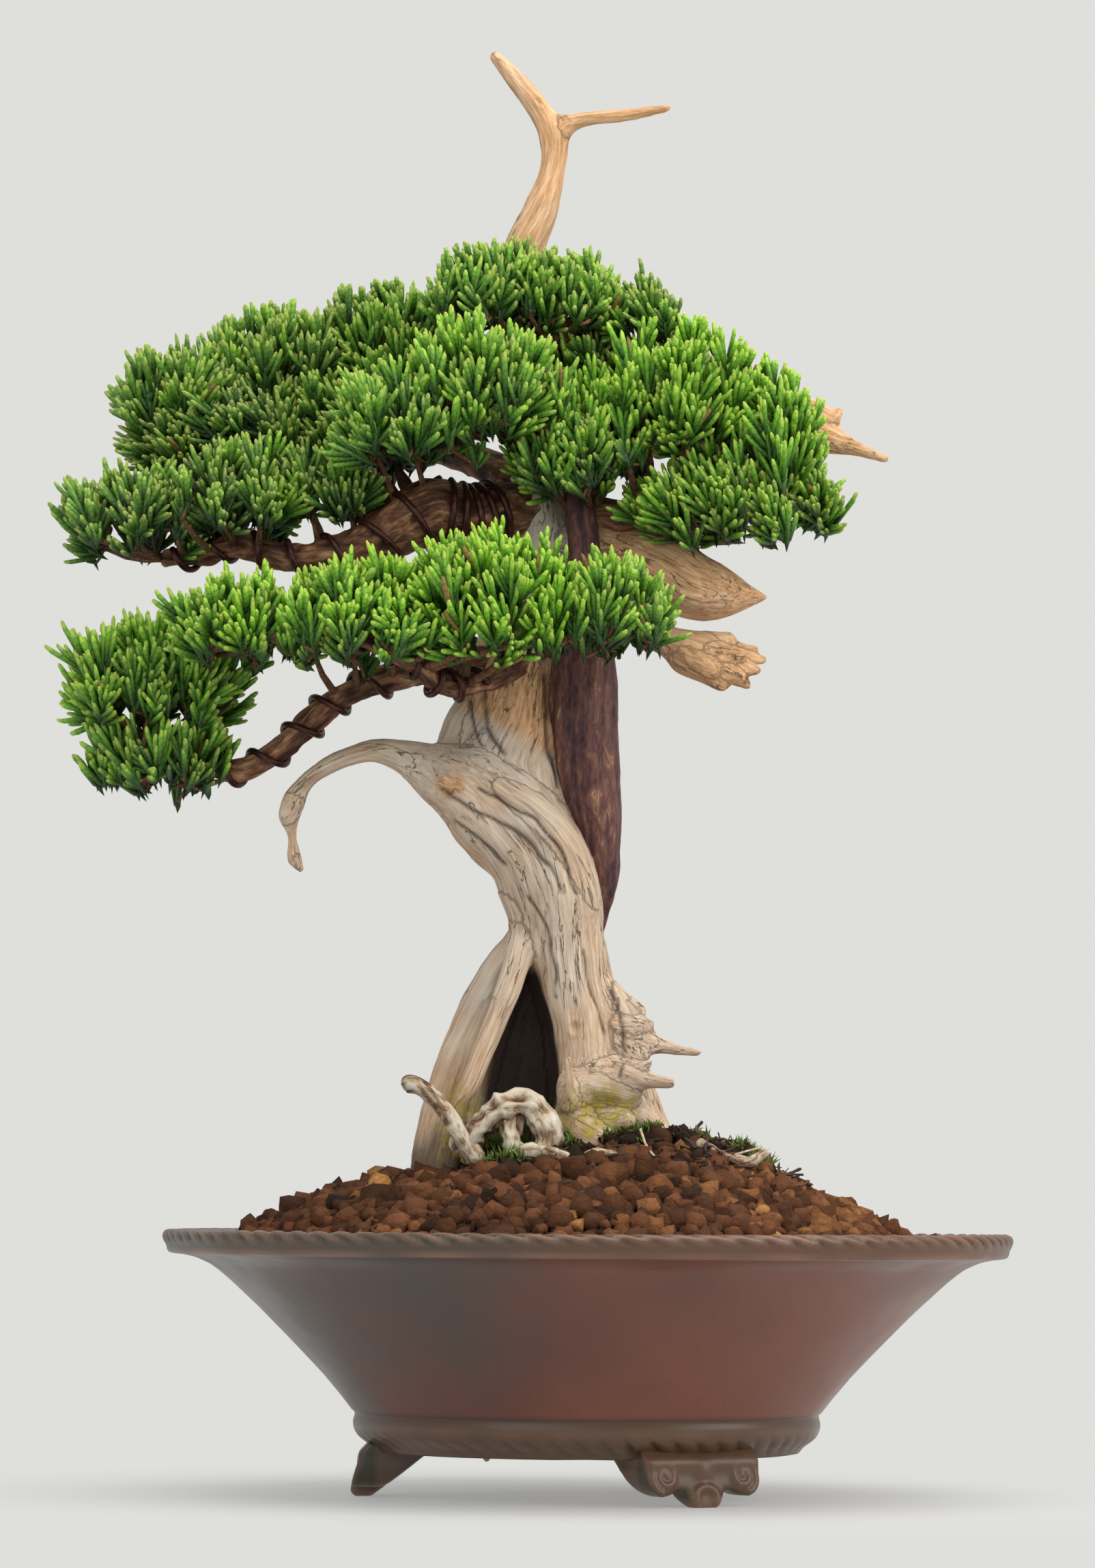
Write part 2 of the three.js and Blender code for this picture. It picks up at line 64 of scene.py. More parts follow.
def node(tree, kind, inputs=None, stops=None, **settings):
    """Adds a node. inputs gives its sockets values, or other sockets to link; stops fills a ramp."""
    made = tree.nodes.new(kind)
    for name, value in settings.items():
        setattr(made, name, value)
    for name, value in (inputs or {}).items():
        socket = made.inputs[name]
        if isinstance(value, bpy.types.NodeSocket):
            tree.links.new(value, socket)
        else:
            socket.default_value = value
    if stops:
        ramp = made.color_ramp
        while len(ramp.elements) < len(stops):
            ramp.elements.new(0.5)
        for element, (position, code) in zip(ramp.elements, stops):
            element.position = position
            element.color = linear(code) if isinstance(code, str) else (code, code, code, 1)
    return made


def shader_of(name, **sockets):
    """A new material, its tree and its Principled shader, with constant sockets set directly."""
    material = bpy.data.materials.new(name)
    material.use_nodes = True
    tree = material.node_tree
    shader = tree.nodes["Principled BSDF"]
    for socket, value in sockets.items():
        shader.inputs[socket.replace("_", " ")].default_value = value
    return material, tree, shader


EYE = in_scene((-9.7, -1365, 65))
LOOKED_AT = in_scene((-9.7, 0, 158.8))
EYE_TILT = 0.0075  # radians, the table's far edge falls slightly to the right
eye = bpy.data.cameras.new("eye")
eye.lens, eye.sensor_width, eye.clip_end = 140.2, 36, 20
camera = bpy.data.objects.new("camera", eye)
camera.rotation_mode = "QUATERNION"
camera.location = EYE
facing = Vector(LOOKED_AT - EYE).to_track_quat("-Z", "Y")
camera.rotation_quaternion = facing @ Quaternion((0, 0, 1), EYE_TILT)
bpy.context.scene.collection.objects.link(camera)
bpy.context.scene.camera = camera
bpy.context.scene.view_settings.view_transform = "Standard"

SOFTBOXES = {  # place in mm, size in m, power in W, colour
    "overhead": ((200, -260, 900), 1.1, 9.5, "#fffaf2"),
    "right": ((900, -350, 520), 0.7, 3.4, "#fffdf8"),
    "left_front": ((-600, -1000, 600), 0.9, 2.4, "#f6f9ff"),
}
for name, (place, size, power, tint) in SOFTBOXES.items():
    lamp = bpy.data.lights.new(name, "AREA")
    lamp.size, lamp.energy, lamp.color = size, power, linear(tint)[:3]
    light = bpy.data.objects.new(name, lamp)
    light.location = in_scene(place)
    aim = Vector(in_scene((0, 0, 150)) - in_scene(place))
    light.rotation_euler = aim.to_track_quat("-Z", "Y").to_euler()
    bpy.context.scene.collection.objects.link(light)

# The white room: as bright as paper where it is seen, and dimmer as a light, so that form shows.
WHITE = linear("#dfdfdc")
room = bpy.data.worlds.new("white_room")
room.use_nodes = True
bpy.context.scene.world = room
walls = room.node_tree.nodes["Background"]
walls.inputs["Color"].default_value = WHITE
sight = node(room.node_tree, "ShaderNodeLightPath")
brightness = node(room.node_tree, "ShaderNodeMapRange",
                  {"Value": sight.outputs["Is Camera Ray"], "To Min": 0.82, "To Max": 1.0})
room.node_tree.links.new(brightness.outputs["Result"], walls.inputs["Strength"])

TABLE_HALF, TABLE_FRONT, TABLE_BACK = 1500, 2500, 212  # from the pot's axis
FADE_START, FADE_END = 0.045, 0.19  # metres from the axis, where the paper melts into the white room
# Pressed paper: its tone drifts in clouds eleven centimetres across.
paper, tree, shader = shader_of("pale_paper", Roughness=0.6)
place = node(tree, "ShaderNodeTexCoord").outputs["Object"]
grain = node(tree, "ShaderNodeTexNoise", {"Vector": place, "Scale": 1000 / 111, "Detail": 5.0})
shade = node(tree, "ShaderNodeValToRGB", {"Fac": grain.outputs["Fac"]},
             stops=[(0.3, "#c3c6c7"), (0.7, "#cacccd")])
tree.links.new(shade.outputs["Color"], shader.inputs["Base Color"])
# Painted light: beside the pot the paper is four tenths emission of the room's white, which lifts its
# shadows, rising to all emission beyond FADE_END, where it melts into the white room.
from_axis = node(tree, "ShaderNodeVectorMath", {0: place, 1: tuple(AXIS)}, operation="DISTANCE")
fade = node(tree, "ShaderNodeMapRange", {"Value": from_axis.outputs["Value"], "From Min": FADE_START,
                                         "From Max": FADE_END, "To Min": 0.4},
            interpolation_type="SMOOTHSTEP")
painted_glow = node(tree, "ShaderNodeEmission", {"Color": WHITE})
blend = node(tree, "ShaderNodeMixShader", {0: fade.outputs["Result"], 1: shader.outputs["BSDF"],
                                           2: painted_glow.outputs["Emission"]})
tree.links.new(blend.outputs["Shader"], tree.nodes["Material Output"].inputs["Surface"])
sheet = bpy.data.meshes.new("table")
corners = [(-TABLE_HALF, -TABLE_FRONT, 0), (TABLE_HALF, -TABLE_FRONT, 0),
           (TABLE_HALF, TABLE_BACK, 0), (-TABLE_HALF, TABLE_BACK, 0)]
sheet.from_pydata([tuple(in_scene(corner)) for corner in corners], [], [(0, 1, 2, 3)])
sheet.materials.append(paper)
table = bpy.data.objects.new("table", sheet)
bpy.context.scene.collection.objects.link(table)


# ---------------------------------------------------------------- pot
# Unglazed, iron-rich stoneware, thrown on a wheel and burnished: a flared bowl with a rope-edged lip,
# a belt round its foot with worn flutes, and three pressed scroll feet luted on before firing.

RIM_RADIUS, RIM_TOP = 94.7, 58.6
BELT_RADIUS, BELT_TOP, UNDERSIDE = 52.0, 18.0, 10.0
FLOOR_TOP, FLOOR_RADIUS = 16.0, 46.0
ROPE_STRANDS, BELT_FLUTES = 96, 60
HOLE_RADIUS, HOLE_OFFSET = 8.0, 22.0
IRON_SPOT = (68.4, -31, 45)


def noise(points, seed=0):
    """Smooth value noise from -1 to 1: a random value at each whole-number corner, eased between."""
    cell = np.floor(points).astype(np.int64)
    part = points - cell
    ease = part * part * (3 - 2 * part)
    total = np.zeros(points.shape[:-1])
    for corner in np.ndindex(2, 2, 2):
        x, y, z = np.moveaxis(cell + corner, -1, 0)
        mixed = (x * 73856093) ^ (y * 19349663) ^ (z * 83492791) ^ (seed * 668265263 + 374761393)
        mixed = ((mixed ^ (mixed >> 13)) * 1274126177) & 0xFFFFFFF
        mixed = (mixed ^ (mixed >> 15)) & 0xFFFF
        total += np.prod(np.where(corner, ease, 1 - ease), axis=-1) * (mixed / 32767.5 - 1)
    return total


def grid_faces(rows, columns, close_rows=False, close_columns=False):
    """Quads of a grid of points, row by row, joined end to start where it closes."""
    row = np.arange(rows if close_rows else rows - 1)[:, None]
    column = np.arange(columns if close_columns else columns - 1)[None, :]
    here, right = column, (column + 1) % columns
    below, above = row * columns, ((row + 1) % rows) * columns
    return np.stack([below + here, below + right, above + right, above + here], -1).reshape(-1, 4)


def joined(parts):
    """Several (points, faces) pairs as one, with the corner numbers moved up."""
    points, faces, start = [], [], 0
    for part_points, part_faces in parts:
        points.append(part_points.reshape(-1, 3))
        faces.append(part_faces + start)
        start += len(points[-1])
    return np.concatenate(points), np.concatenate(faces)


def piece(name, points, faces, material):
    """A mesh object in the scene, from points in millimetres and faces of equal corner count."""
    points = points.reshape(-1, 3)
    mesh = bpy.data.meshes.new(name)
    mesh.vertices.add(len(points))
    mesh.vertices.foreach_set("co", in_scene(points).astype(np.float32).ravel())
    mesh.loops.add(faces.size)
    mesh.loops.foreach_set("vertex_index", faces.astype(np.int32).ravel())
    mesh.polygons.add(len(faces))
    mesh.polygons.foreach_set("loop_start", np.arange(0, faces.size, faces.shape[1], dtype=np.int32))
    mesh.polygons.foreach_set("use_smooth", np.full(len(faces), True))
    mesh.materials.append(material)
    mesh.update(calc_edges=True)
    made = bpy.data.objects.new(name, mesh)
    bpy.context.scene.collection.objects.link(made)
    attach(made, "root")
    return made


def mark(made, name, values):
    """A number or a vector on each vertex, for the material to read by name."""
    values = np.asarray(values, np.float32).ravel()
    vectors = len(values) > len(made.data.vertices)
    layer = made.data.attributes.new(name, "FLOAT_VECTOR" if vectors else "FLOAT", "POINT")
    layer.data.foreach_set("vector" if vectors else "value", values)


def stoneware():
    """Burnished iron-rich stoneware: grey-brown on the left, going lighter and red-brown to the right and
    lower down, the left's grey a painted reflection and the right's lighter red painted light from the
    right; duller olive on the lip, belt and feet, with painted shade darkest in their hollows and paler
    raised edges that are partly rubbed wear, partly painted highlight; a satin skin over grog of
    0.4 mm, rubbed in patches of 17 mm, fire clouds of 71 mm, and one iron spot of 2 mm high on the right
    wall."""
    material, tree, shader = shader_of("burnished_stoneware", IOR=1.5)
    place = node(tree, "ShaderNodeTexCoord").outputs["Object"]
    clouds = node(tree, "ShaderNodeTexNoise", {"Vector": place, "Scale": 1000 / 71.4, "Detail": 4.0})
    parts = node(tree, "ShaderNodeSeparateXYZ", {"Vector": place})
    # Painted light: the colour runs lighter and redder towards +X, the side the right-hand lamp lights, with
    # grey on the left as a painted reflection; the noise adds the real fire clouds.
    right_light_and_clouds = node(tree, "ShaderNodeMath", {0: parts.outputs["X"], 1: 1.9,
                                           2: clouds.outputs["Fac"]}, operation="MULTIPLY_ADD")
    lower = node(tree, "ShaderNodeMath", {0: parts.outputs["Z"], 1: -3.2,
                                          2: right_light_and_clouds.outputs["Value"]}, operation="MULTIPLY_ADD")
    body = node(tree, "ShaderNodeValToRGB", {"Fac": lower.outputs["Value"]},
                stops=[(0.18, "#4a413b"), (0.32, "#563f36"), (0.44, "#693f33"), (0.6, "#7b4838")])
    below = node(tree, "ShaderNodeMapRange", {"Value": parts.outputs["Z"],
                                              "From Min": AXIS[2] + 0.0185,
                                              "From Max": AXIS[2] + 0.0175, "To Max": 0.62})
    above = node(tree, "ShaderNodeMapRange", {"Value": parts.outputs["Z"],
                                              "From Min": AXIS[2] + 0.0528,
                                              "From Max": AXIS[2] + 0.0542, "To Max": 0.5})
    banded = node(tree, "ShaderNodeMath", {0: below.outputs["Result"], 1: above.outputs["Result"]},
                  operation="ADD")
    cloudy = node(tree, "ShaderNodeMath", {0: banded.outputs["Value"], 1: clouds.outputs["Fac"]},
                  operation="MULTIPLY")
    dulled = node(tree, "ShaderNodeMath", {0: cloudy.outputs["Value"], 1: 1.7}, operation="MULTIPLY")
    bands = node(tree, "ShaderNodeMix", {"Factor": dulled.outputs["Value"],
                                         "A": body.outputs["Color"], "B": linear("#4c4431")},
                 data_type="RGBA")
    # Painted shade: darkens the gaps between the rope strands, the flutes, the groove above the belt and the
    # grooves on the feet.
    painted_hollow_shade = node(tree, "ShaderNodeAttribute", attribute_name="painted_hollow_shade")
    hollow_shade_mix = node(tree, "ShaderNodeMix", {"Factor": painted_hollow_shade.outputs["Fac"], "A": bands.outputs[2],
                                       "B": linear("#33301e")}, data_type="RGBA")
    # Paler raised edges on the bead, the rope crests, the belt's edge and the toes: partly rubbed wear,
    # partly painted highlight.
    rubbed_and_highlit = node(tree, "ShaderNodeAttribute", attribute_name="rubbed_and_highlit")
    edges = node(tree, "ShaderNodeMix", {"Factor": rubbed_and_highlit.outputs["Fac"], "A": hollow_shade_mix.outputs[2],
                                         "B": linear("#946c58")}, data_type="RGBA")
    grog = node(tree, "ShaderNodeTexNoise", {"Vector": place, "Scale": 1000 / 0.385, "Detail": 2.0})
    speck = node(tree, "ShaderNodeMapRange", {"Value": grog.outputs["Fac"], "From Min": 0.3,
                                              "From Max": 0.7, "To Min": 0.9, "To Max": 1.08})
    tint = node(tree, "ShaderNodeHueSaturation", {"Value": speck.outputs["Result"],
                                                  "Color": edges.outputs[2]})
    spot = tuple(float(part) for part in in_scene((68.4, -31, 45)))
    from_spot = node(tree, "ShaderNodeVectorMath", {0: place, 1: spot}, operation="DISTANCE")
    iron = node(tree, "ShaderNodeMapRange", {"Value": from_spot.outputs["Value"], "From Min": 0.0007,
                                             "From Max": 0.0011, "To Min": 0.9, "To Max": 0.0})
    marked = node(tree, "ShaderNodeMix", {"Factor": iron.outputs["Result"], "A": tint.outputs["Color"],
                                          "B": linear("#191411")}, data_type="RGBA")
    tree.links.new(marked.outputs[2], shader.inputs["Base Color"])
    rub = node(tree, "ShaderNodeTexNoise", {"Vector": place, "Scale": 1000 / 16.7, "Detail": 3.0})
    gloss = node(tree, "ShaderNodeMapRange", {"Value": rub.outputs["Fac"], "From Min": 0.3,
                                              "From Max": 0.7, "To Min": 0.27, "To Max": 0.4})
    tree.links.new(gloss.outputs["Result"], shader.inputs["Roughness"])
    bump = node(tree, "ShaderNodeBump", {"Height": grog.outputs["Fac"], "Strength": 0.12,
                                         "Distance": 0.0002})
    tree.links.new(bump.outputs["Normal"], shader.inputs["Normal"])
    return material


def smooth_profile(points, spacing, softness):
    """A closed outline resampled at about its spacing, with its corners rounded by averaging."""
    ends = np.array(points + points[:1], float)
    lengths = np.hypot(*np.diff(ends, axis=0).T)
    reach = np.concatenate([[0], np.cumsum(lengths)])
    count = int(reach[-1] / spacing)
    spots = np.linspace(0, reach[-1], count, endpoint=False)
    dense = np.stack([np.interp(spots, reach, ends[:, i]) for i in (0, 1)], 1)
    for _ in range(softness):
        dense = (np.roll(dense, 1, 0) + 2 * dense + np.roll(dense, -1, 0)) / 4
    return dense


STONEWARE = stoneware()
outline = [
    (44.5, UNDERSIDE), (47.4, UNDERSIDE), (47.8, 11.2), (49.2, 12.2), (50.6, 13.2), (51.5, 14.2),
    (BELT_RADIUS, 15.6), (BELT_RADIUS, 17.2), (51.7, BELT_TOP), (52.2, 19), (54.6, 22.1),
    (58.9, 27.2), (63.4, 31.9), (68.2, 36.8), (73.2, 41.8), (78.4, 46.6), (80.9, 48.9),
    (83.9, 51.1), (87.2, 52.6), (90.4, 53.3), (92.7, 53.6), (93.6, 54.2), (93.5, 54.9),
    (93.9, 55.3), (94.4, 56.4), (RIM_RADIUS, 57.6), (94.3, 58.4), (93.4, RIM_TOP + 0.1),
    (90.6, RIM_TOP), (89.2, RIM_TOP - 0.6), (86.2, 56.2), (79.4, 51.8), (70.4, 44.4), (62.6, 38),
    (55.5, 29), (49.2, 21.5), (47.5, 17.2), (44.5, FLOOR_TOP),
]
ring = smooth_profile(outline, 0.75, 1)
# Wide steps serve on the plain walls; the rim and the belt keep every step.
plain = ((ring[:, 1] > 20) & (ring[:, 1] < 50)) | (ring[:, 1] < 10.4)
inner = np.arange(len(ring)) > np.argmax(ring[:, 1])
keep = ~(plain | (inner & (ring[:, 1] < 56))) | (np.arange(len(ring)) % 4 == 0)
ring = ring[keep]
along = np.roll(ring, -1, 0) - np.roll(ring, 1, 0)
outward = np.stack([along[:, 1], -along[:, 0]], 1) / np.hypot(*along.T)[:, None]
turn = np.linspace(0, 2 * np.pi, ROPE_STRANDS * 8, endpoint=False)[:, None]
radius, height = ring[:, 0][None, :], ring[:, 1][None, :]


def round_the_pot(times, seed):
    """Noise that changes only with the turn round the pot."""
    return noise(np.stack([times * np.cos(turn), times * np.sin(turn), 0 * turn], -1), seed)


lip = np.clip((height - 55.8 - 0.5 * round_the_pot(5, 3)) / 1.1, 0, 1)
lip = lip * np.clip((radius - 90.4) / 1.5, 0, 1)
lip = lip * 0.75 + 0.25 * lip * round_the_pot(14, 4)
slant = (height - 57) * 1.15 - (radius - 93) * 0.6
strand = np.abs(np.sin((ROPE_STRANDS * turn + 2 * slant) / 2)) ** 0.45
belt = np.clip(1 - np.abs(height - 12.7) / 2.6, 0, 1) * (radius > 46) * (height < 16)
belt = belt * np.clip(0.6 + 0.7 * round_the_pot(4, 8), 0, 1)
flute = np.abs(np.sin((BELT_FLUTES * turn + 1.4 * (height - 12)) / 2)) ** 0.6
uneven = 0.1 * noise(np.stack([3 * np.cos(turn) + 0 * radius, 3 * np.sin(turn) + 0 * radius,
                               height / 18 + 0 * turn], -1), 12)
groove = np.exp(-((height - 18.3) / 0.5) ** 2) * (radius > 50)
bead = np.exp(-((height - 54.1) / 0.55) ** 2) * (radius > 91)
push = 1.15 * lip * (strand - 0.8) + 1.0 * belt * (flute - 0.75) + uneven - 0.45 * groove + 0.3 * bead
shell = np.stack([
    (radius + push * outward[None, :, 0]) * np.cos(turn),
    (radius + push * outward[None, :, 0]) * np.sin(turn),
    height + push * outward[None, :, 1],
], -1)


def floor_half(side, count=40):
    """Half of the pot's floor with its hole: rings from the hole's edge out to a half disc's edge, over
    the top, down the outside and back under, as a closed slab."""
    angle = np.linspace(0, 2 * np.pi, count, endpoint=False)
    ray = np.stack([np.cos(angle), np.sin(angle)], 1)
    middle = np.array([side * HOLE_OFFSET, 0])
    to_flat = np.where(ray[:, 0] * side < -1e-9, HOLE_OFFSET / np.maximum(-ray[:, 0] * side, 1e-9), 1e9)
    along_ray = ray @ middle
    to_round = -along_ray + np.sqrt(along_ray ** 2 + FLOOR_RADIUS ** 2 - HOLE_OFFSET ** 2)
    far = middle + ray * np.minimum(to_flat, to_round)[:, None]
    near = middle + ray * HOLE_RADIUS
    rings = []
    for spot, level in [(near, FLOOR_TOP), (far, FLOOR_TOP), (far, UNDERSIDE), (near, UNDERSIDE)]:
        rings.append(np.column_stack([spot, np.full(count, level)]))
    return np.stack(rings), grid_faces(4, count, True, True)[:, ::-1]


shell_faces = grid_faces(*shell.shape[:2], True, True)[:, ::-1]
floor_parts = [floor_half(side) for side in (-1, 1)]
points, faces = joined([(shell, shell_faces), *floor_parts])
pot = piece("pot_bowl", points, faces, STONEWARE)
below = np.zeros(len(points) - shell.size // 3)
# Painted shade where the rope strands, the belt's flutes and the groove above the belt sink in.
painted_hollow_shade = 0.9 * lip * (1 - strand) + 0.9 * belt * (1 - flute) + 0.9 * groove
mark(pot, "painted_hollow_shade", np.concatenate([np.clip(painted_hollow_shade, 0, 1).ravel(), below]))
# Paler bead, rope crests and belt edge: partly rubbed wear, partly painted highlight.
rubbed = bead + 0.8 * lip * (strand > 0.85) + 0.35 * np.clip(1 - np.abs(height - 15.5) / 2, 0, 1)
rubbed = rubbed * (0.55 + 0.45 * round_the_pot(9, 6))
mark(pot, "rubbed_and_highlit", np.concatenate([np.clip(0.7 * rubbed, 0, 1).ravel(), below]))
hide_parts("pot")


def skin(field, low, cell):
    """The surface where a field on a grid of points passes zero, positive inside: one vertex in each
    cell that it passes, at the mean of its crossings, and a quad round each grid edge it crosses."""
    inside = field > 0
    shape = np.array(field.shape)
    offsets = np.array(list(np.ndindex(2, 2, 2)))
    count = sum(inside[tuple(slice(o, n - 1 + o) for o, n in zip(offset, shape))].astype(np.int8)
                for offset in offsets)
    mixed = (count > 0) & (count < 8)
    number = np.full(mixed.shape, -1)
    cells = np.argwhere(mixed)
    number[mixed] = np.arange(len(cells))
    total, hits = np.zeros((len(cells), 3)), np.zeros((len(cells), 1))
    for start in offsets:
        for axis in range(3):
            if start[axis]:
                continue
            step = np.eye(3, dtype=int)[axis]
            first = field[tuple((cells + start).T)]
            last = field[tuple((cells + start + step).T)]
            crosses = ((first > 0) != (last > 0))[:, None]
            share = (first / np.where(first == last, 1, first - last))[:, None]
            total += np.where(crosses, cells + start + share * step, 0)
            hits += crosses
    points = low + cell * total / hits
    faces = []
    for axis in range(3):
        step, next_, last_ = (np.eye(3, dtype=int)[(axis + i) % 3] for i in range(3))
        lower = inside[tuple(slice(0, n - s) for n, s in zip(shape, step))]
        upper = inside[tuple(slice(s, n) for n, s in zip(shape, step))]
        edges = np.argwhere(lower != upper)
        leaves = lower[tuple(edges.T)]
        sound = (edges[:, (axis + 1) % 3] > 0) & (edges[:, (axis + 2) % 3] > 0)
        sound &= edges[:, (axis + 1) % 3] < shape[(axis + 1) % 3] - 1
        sound &= edges[:, (axis + 2) % 3] < shape[(axis + 2) % 3] - 1
        edges, leaves = edges[sound], leaves[sound]
        quad = np.stack([number[tuple((edges + shift).T)]
                         for shift in (-next_ - last_, -last_, 0 * step, -next_)], 1)
        faces.append(np.where(leaves[:, None], quad, quad[:, ::-1]))
    return points, np.concatenate(faces)


FOOT_TURNS = {"left": 180, "front": -60, "back": 60}  # degrees round the pot
FOOT_CELL = 0.4


def foot_face(height):
    """How far out the face of a foot stands: it draws in from the toe up."""
    return 51.6 - 4.2 * np.clip(height / 12.5, 0, 1) ** 1.6


def scroll_foot():
    """One foot, standing on the X axis: a slab cut to a three-lobed cloud, drawn in from a broad root
    to a thin toe, with spiral scrolls, a central boss and a curl raised on its face."""
    low = np.array([29.6, -17.5, -1.2])
    size = (np.array([25, 35, 15.2]) / FOOT_CELL).astype(int)
    out, side, up = (low[i] + FOOT_CELL * np.arange(size[i]).reshape([-1 if i == j else 1 for j in range(3)])
                     for i in range(3))
    lobes = 4.1 - np.hypot(np.abs(side) - 10.2, up - 6.5)
    toe = 4.9 - np.hypot(side, (up - 3.6) * 1.05)
    web = np.minimum(9.5 - np.abs(side), up - 3.6)
    top = np.minimum(14.6 - 0.12 * (12 - up) - np.abs(side), up - 7.8)
    cloud = np.log(sum(np.exp(part / 0.5) for part in (lobes, toe, web, top))) * 0.5
    inner = 47.5 - 15.8 * np.clip(up / 12.5, 0, 1)
    face = foot_face(up) + 1.5 * np.exp(-((up - 10) / 2.2) ** 2)
    across = np.minimum(np.minimum(out - inner, face - out), 12.6 - up)
    slab = -0.6 * np.log(np.exp(-cloud / 0.6) + np.exp(-across / 0.6))
    turn = np.linspace(0, 3.4 * np.pi, 46)
    reach = 0.5 + 3.0 * turn / (3.4 * np.pi)
    curl = np.linspace(-0.4, np.pi + 0.4, 16)
    lines = [(way * (9.9 - reach * np.cos(turn)), 6.6 + reach * np.sin(turn), 0.72) for way in (-1, 1)]
    lines.append((2.6 * np.cos(curl), 2.2 + 2.2 * np.sin(curl), 0.8))
    raised = np.full(slab.shape, -9.0)
    for across_line, up_line, thick in lines:
        for y, z in zip(across_line, up_line):
            away = np.sqrt((out - foot_face(z)) ** 2 + (side - y) ** 2 + (up - z) ** 2)
            raised = np.maximum(raised, thick - away)
    boss = 1 - np.sqrt(((out - 49.4) / 1.5) ** 2 + (side / 2.3) ** 2 + ((up - 7.4) / 2.6) ** 2)
    body = 0.35 * np.log(np.exp(slab / 0.35) + np.exp(raised / 0.35) + np.exp(1.5 * boss / 0.35))
    body = np.minimum(body, up + 0 * body)
    points, faces = skin(body, low, FOOT_CELL)
    points[:, 2] = np.maximum(points[:, 2], 0)
    # Painted shade in the grooves beside the raised scrolls on the foot's face.
    grooved = np.clip((foot_face(points[:, 2]) + 0.3 - points[:, 0]) / 0.9, 0, 1)
    on_face = np.clip((points[:, 0] - 45.5) / 1.5, 0, 1)
    return points, faces, 0.85 * grooved * on_face


foot_points, foot_faces, foot_groove_shade = scroll_foot()
for name, degrees in FOOT_TURNS.items():
    angle = np.radians(degrees)
    turned = foot_points @ np.array([[np.cos(angle), np.sin(angle), 0],
                                     [-np.sin(angle), np.cos(angle), 0], [0, 0, 1]])
    foot = piece(f"pot_foot_{name}", turned, foot_faces, STONEWARE)
    mark(foot, "painted_hollow_shade", foot_groove_shade)
    # Paler toes: partly rubbed wear, partly painted highlight.
    mark(foot, "rubbed_and_highlit", 0.5 * np.clip(1 - foot_points[:, 2] / 2.5, 0, 1))
    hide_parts("pot")


# ---------------------------------------------------------------- soil
# Akadama: fired red-brown volcanic clay broken into angular lumps, most of three to five millimetres,
# and heaped loosely round the trunk, with a few paler lumps, over finer dark soil.

SOIL_LEFT = (78, 76, 72.5, 70, 68.5, 66, 61.5, 56)  # heights in equal steps out to SOIL_EDGE
SOIL_RIGHT = (78, 80, 79, 73.8, 68.5, 62.5, 58.5, 55.5)
SOIL_EDGE = 82
LUMPS, LUMP_SIZE = 1650, 2.15  # in each of two layers, and a lump's mean half width
LUMP_FREE = 17  # no lumps this close to the trunk's middle
GOLDEN_TURN = 2.399963  # radians from one item to the next spreads them evenly


def soil_height(x, y):
    """Height of the heap: its left and right profiles, blended round the pot."""
    radius = np.hypot(x, y)
    steps = np.linspace(0, SOIL_EDGE, len(SOIL_LEFT))
    left, right = np.interp(radius, steps, SOIL_LEFT), np.interp(radius, steps, SOIL_RIGHT)
    return left + (right - left) * (0.5 + 0.5 * x / np.maximum(radius, 1e-6))


def clay(name, stops):
    """Fired clay broken open: matt, each lump its own brown, with dust in flecks of a millimetre and
    pits of two and finer. Real dust is finer than a render shows, so it is drawn coarser."""
    material, tree, shader = shader_of(name, Roughness=0.93, Specular_IOR_Level=0.25)
    place = node(tree, "ShaderNodeTexCoord").outputs["Object"]
    tone = node(tree, "ShaderNodeAttribute", attribute_name="tone")
    dust = node(tree, "ShaderNodeTexNoise", {"Vector": place, "Scale": 1000 / 1.11, "Detail": 3.0})
    shift = node(tree, "ShaderNodeMath", {0: dust.outputs["Fac"], 1: 0.24, 2: -0.12},
                 operation="MULTIPLY_ADD")
    level = node(tree, "ShaderNodeMath", {0: tone.outputs["Fac"], 1: shift.outputs["Value"]})
    shade = node(tree, "ShaderNodeValToRGB", {"Fac": level.outputs["Value"]}, stops=stops)
    tree.links.new(shade.outputs["Color"], shader.inputs["Base Color"])
    pits = node(tree, "ShaderNodeTexNoise", {"Vector": place, "Scale": 1000 / 1.92, "Detail": 6.0,
                                             "Roughness": 0.68})
    bump = node(tree, "ShaderNodeBump", {"Height": pits.outputs["Fac"], "Strength": 1.0,
                                         "Distance": 0.0022})
    tree.links.new(bump.outputs["Normal"], shader.inputs["Normal"])
    return material


def turns(count, random):
    """Random rotations as matrices, one for each item, from unit quaternions."""
    w, x, y, z = random.normal(size=(4, count))
    size = np.sqrt(w * w + x * x + y * y + z * z)
    w, x, y, z = w / size, x / size, y / size, z / size
    rows = [[1 - 2 * (y * y + z * z), 2 * (x * y - z * w), 2 * (x * z + y * w)],
            [2 * (x * y + z * w), 1 - 2 * (x * x + z * z), 2 * (y * z - x * w)],
            [2 * (x * z - y * w), 2 * (y * z + x * w), 1 - 2 * (x * x + y * y)]]
    return np.moveaxis(np.array(rows), -1, 0)


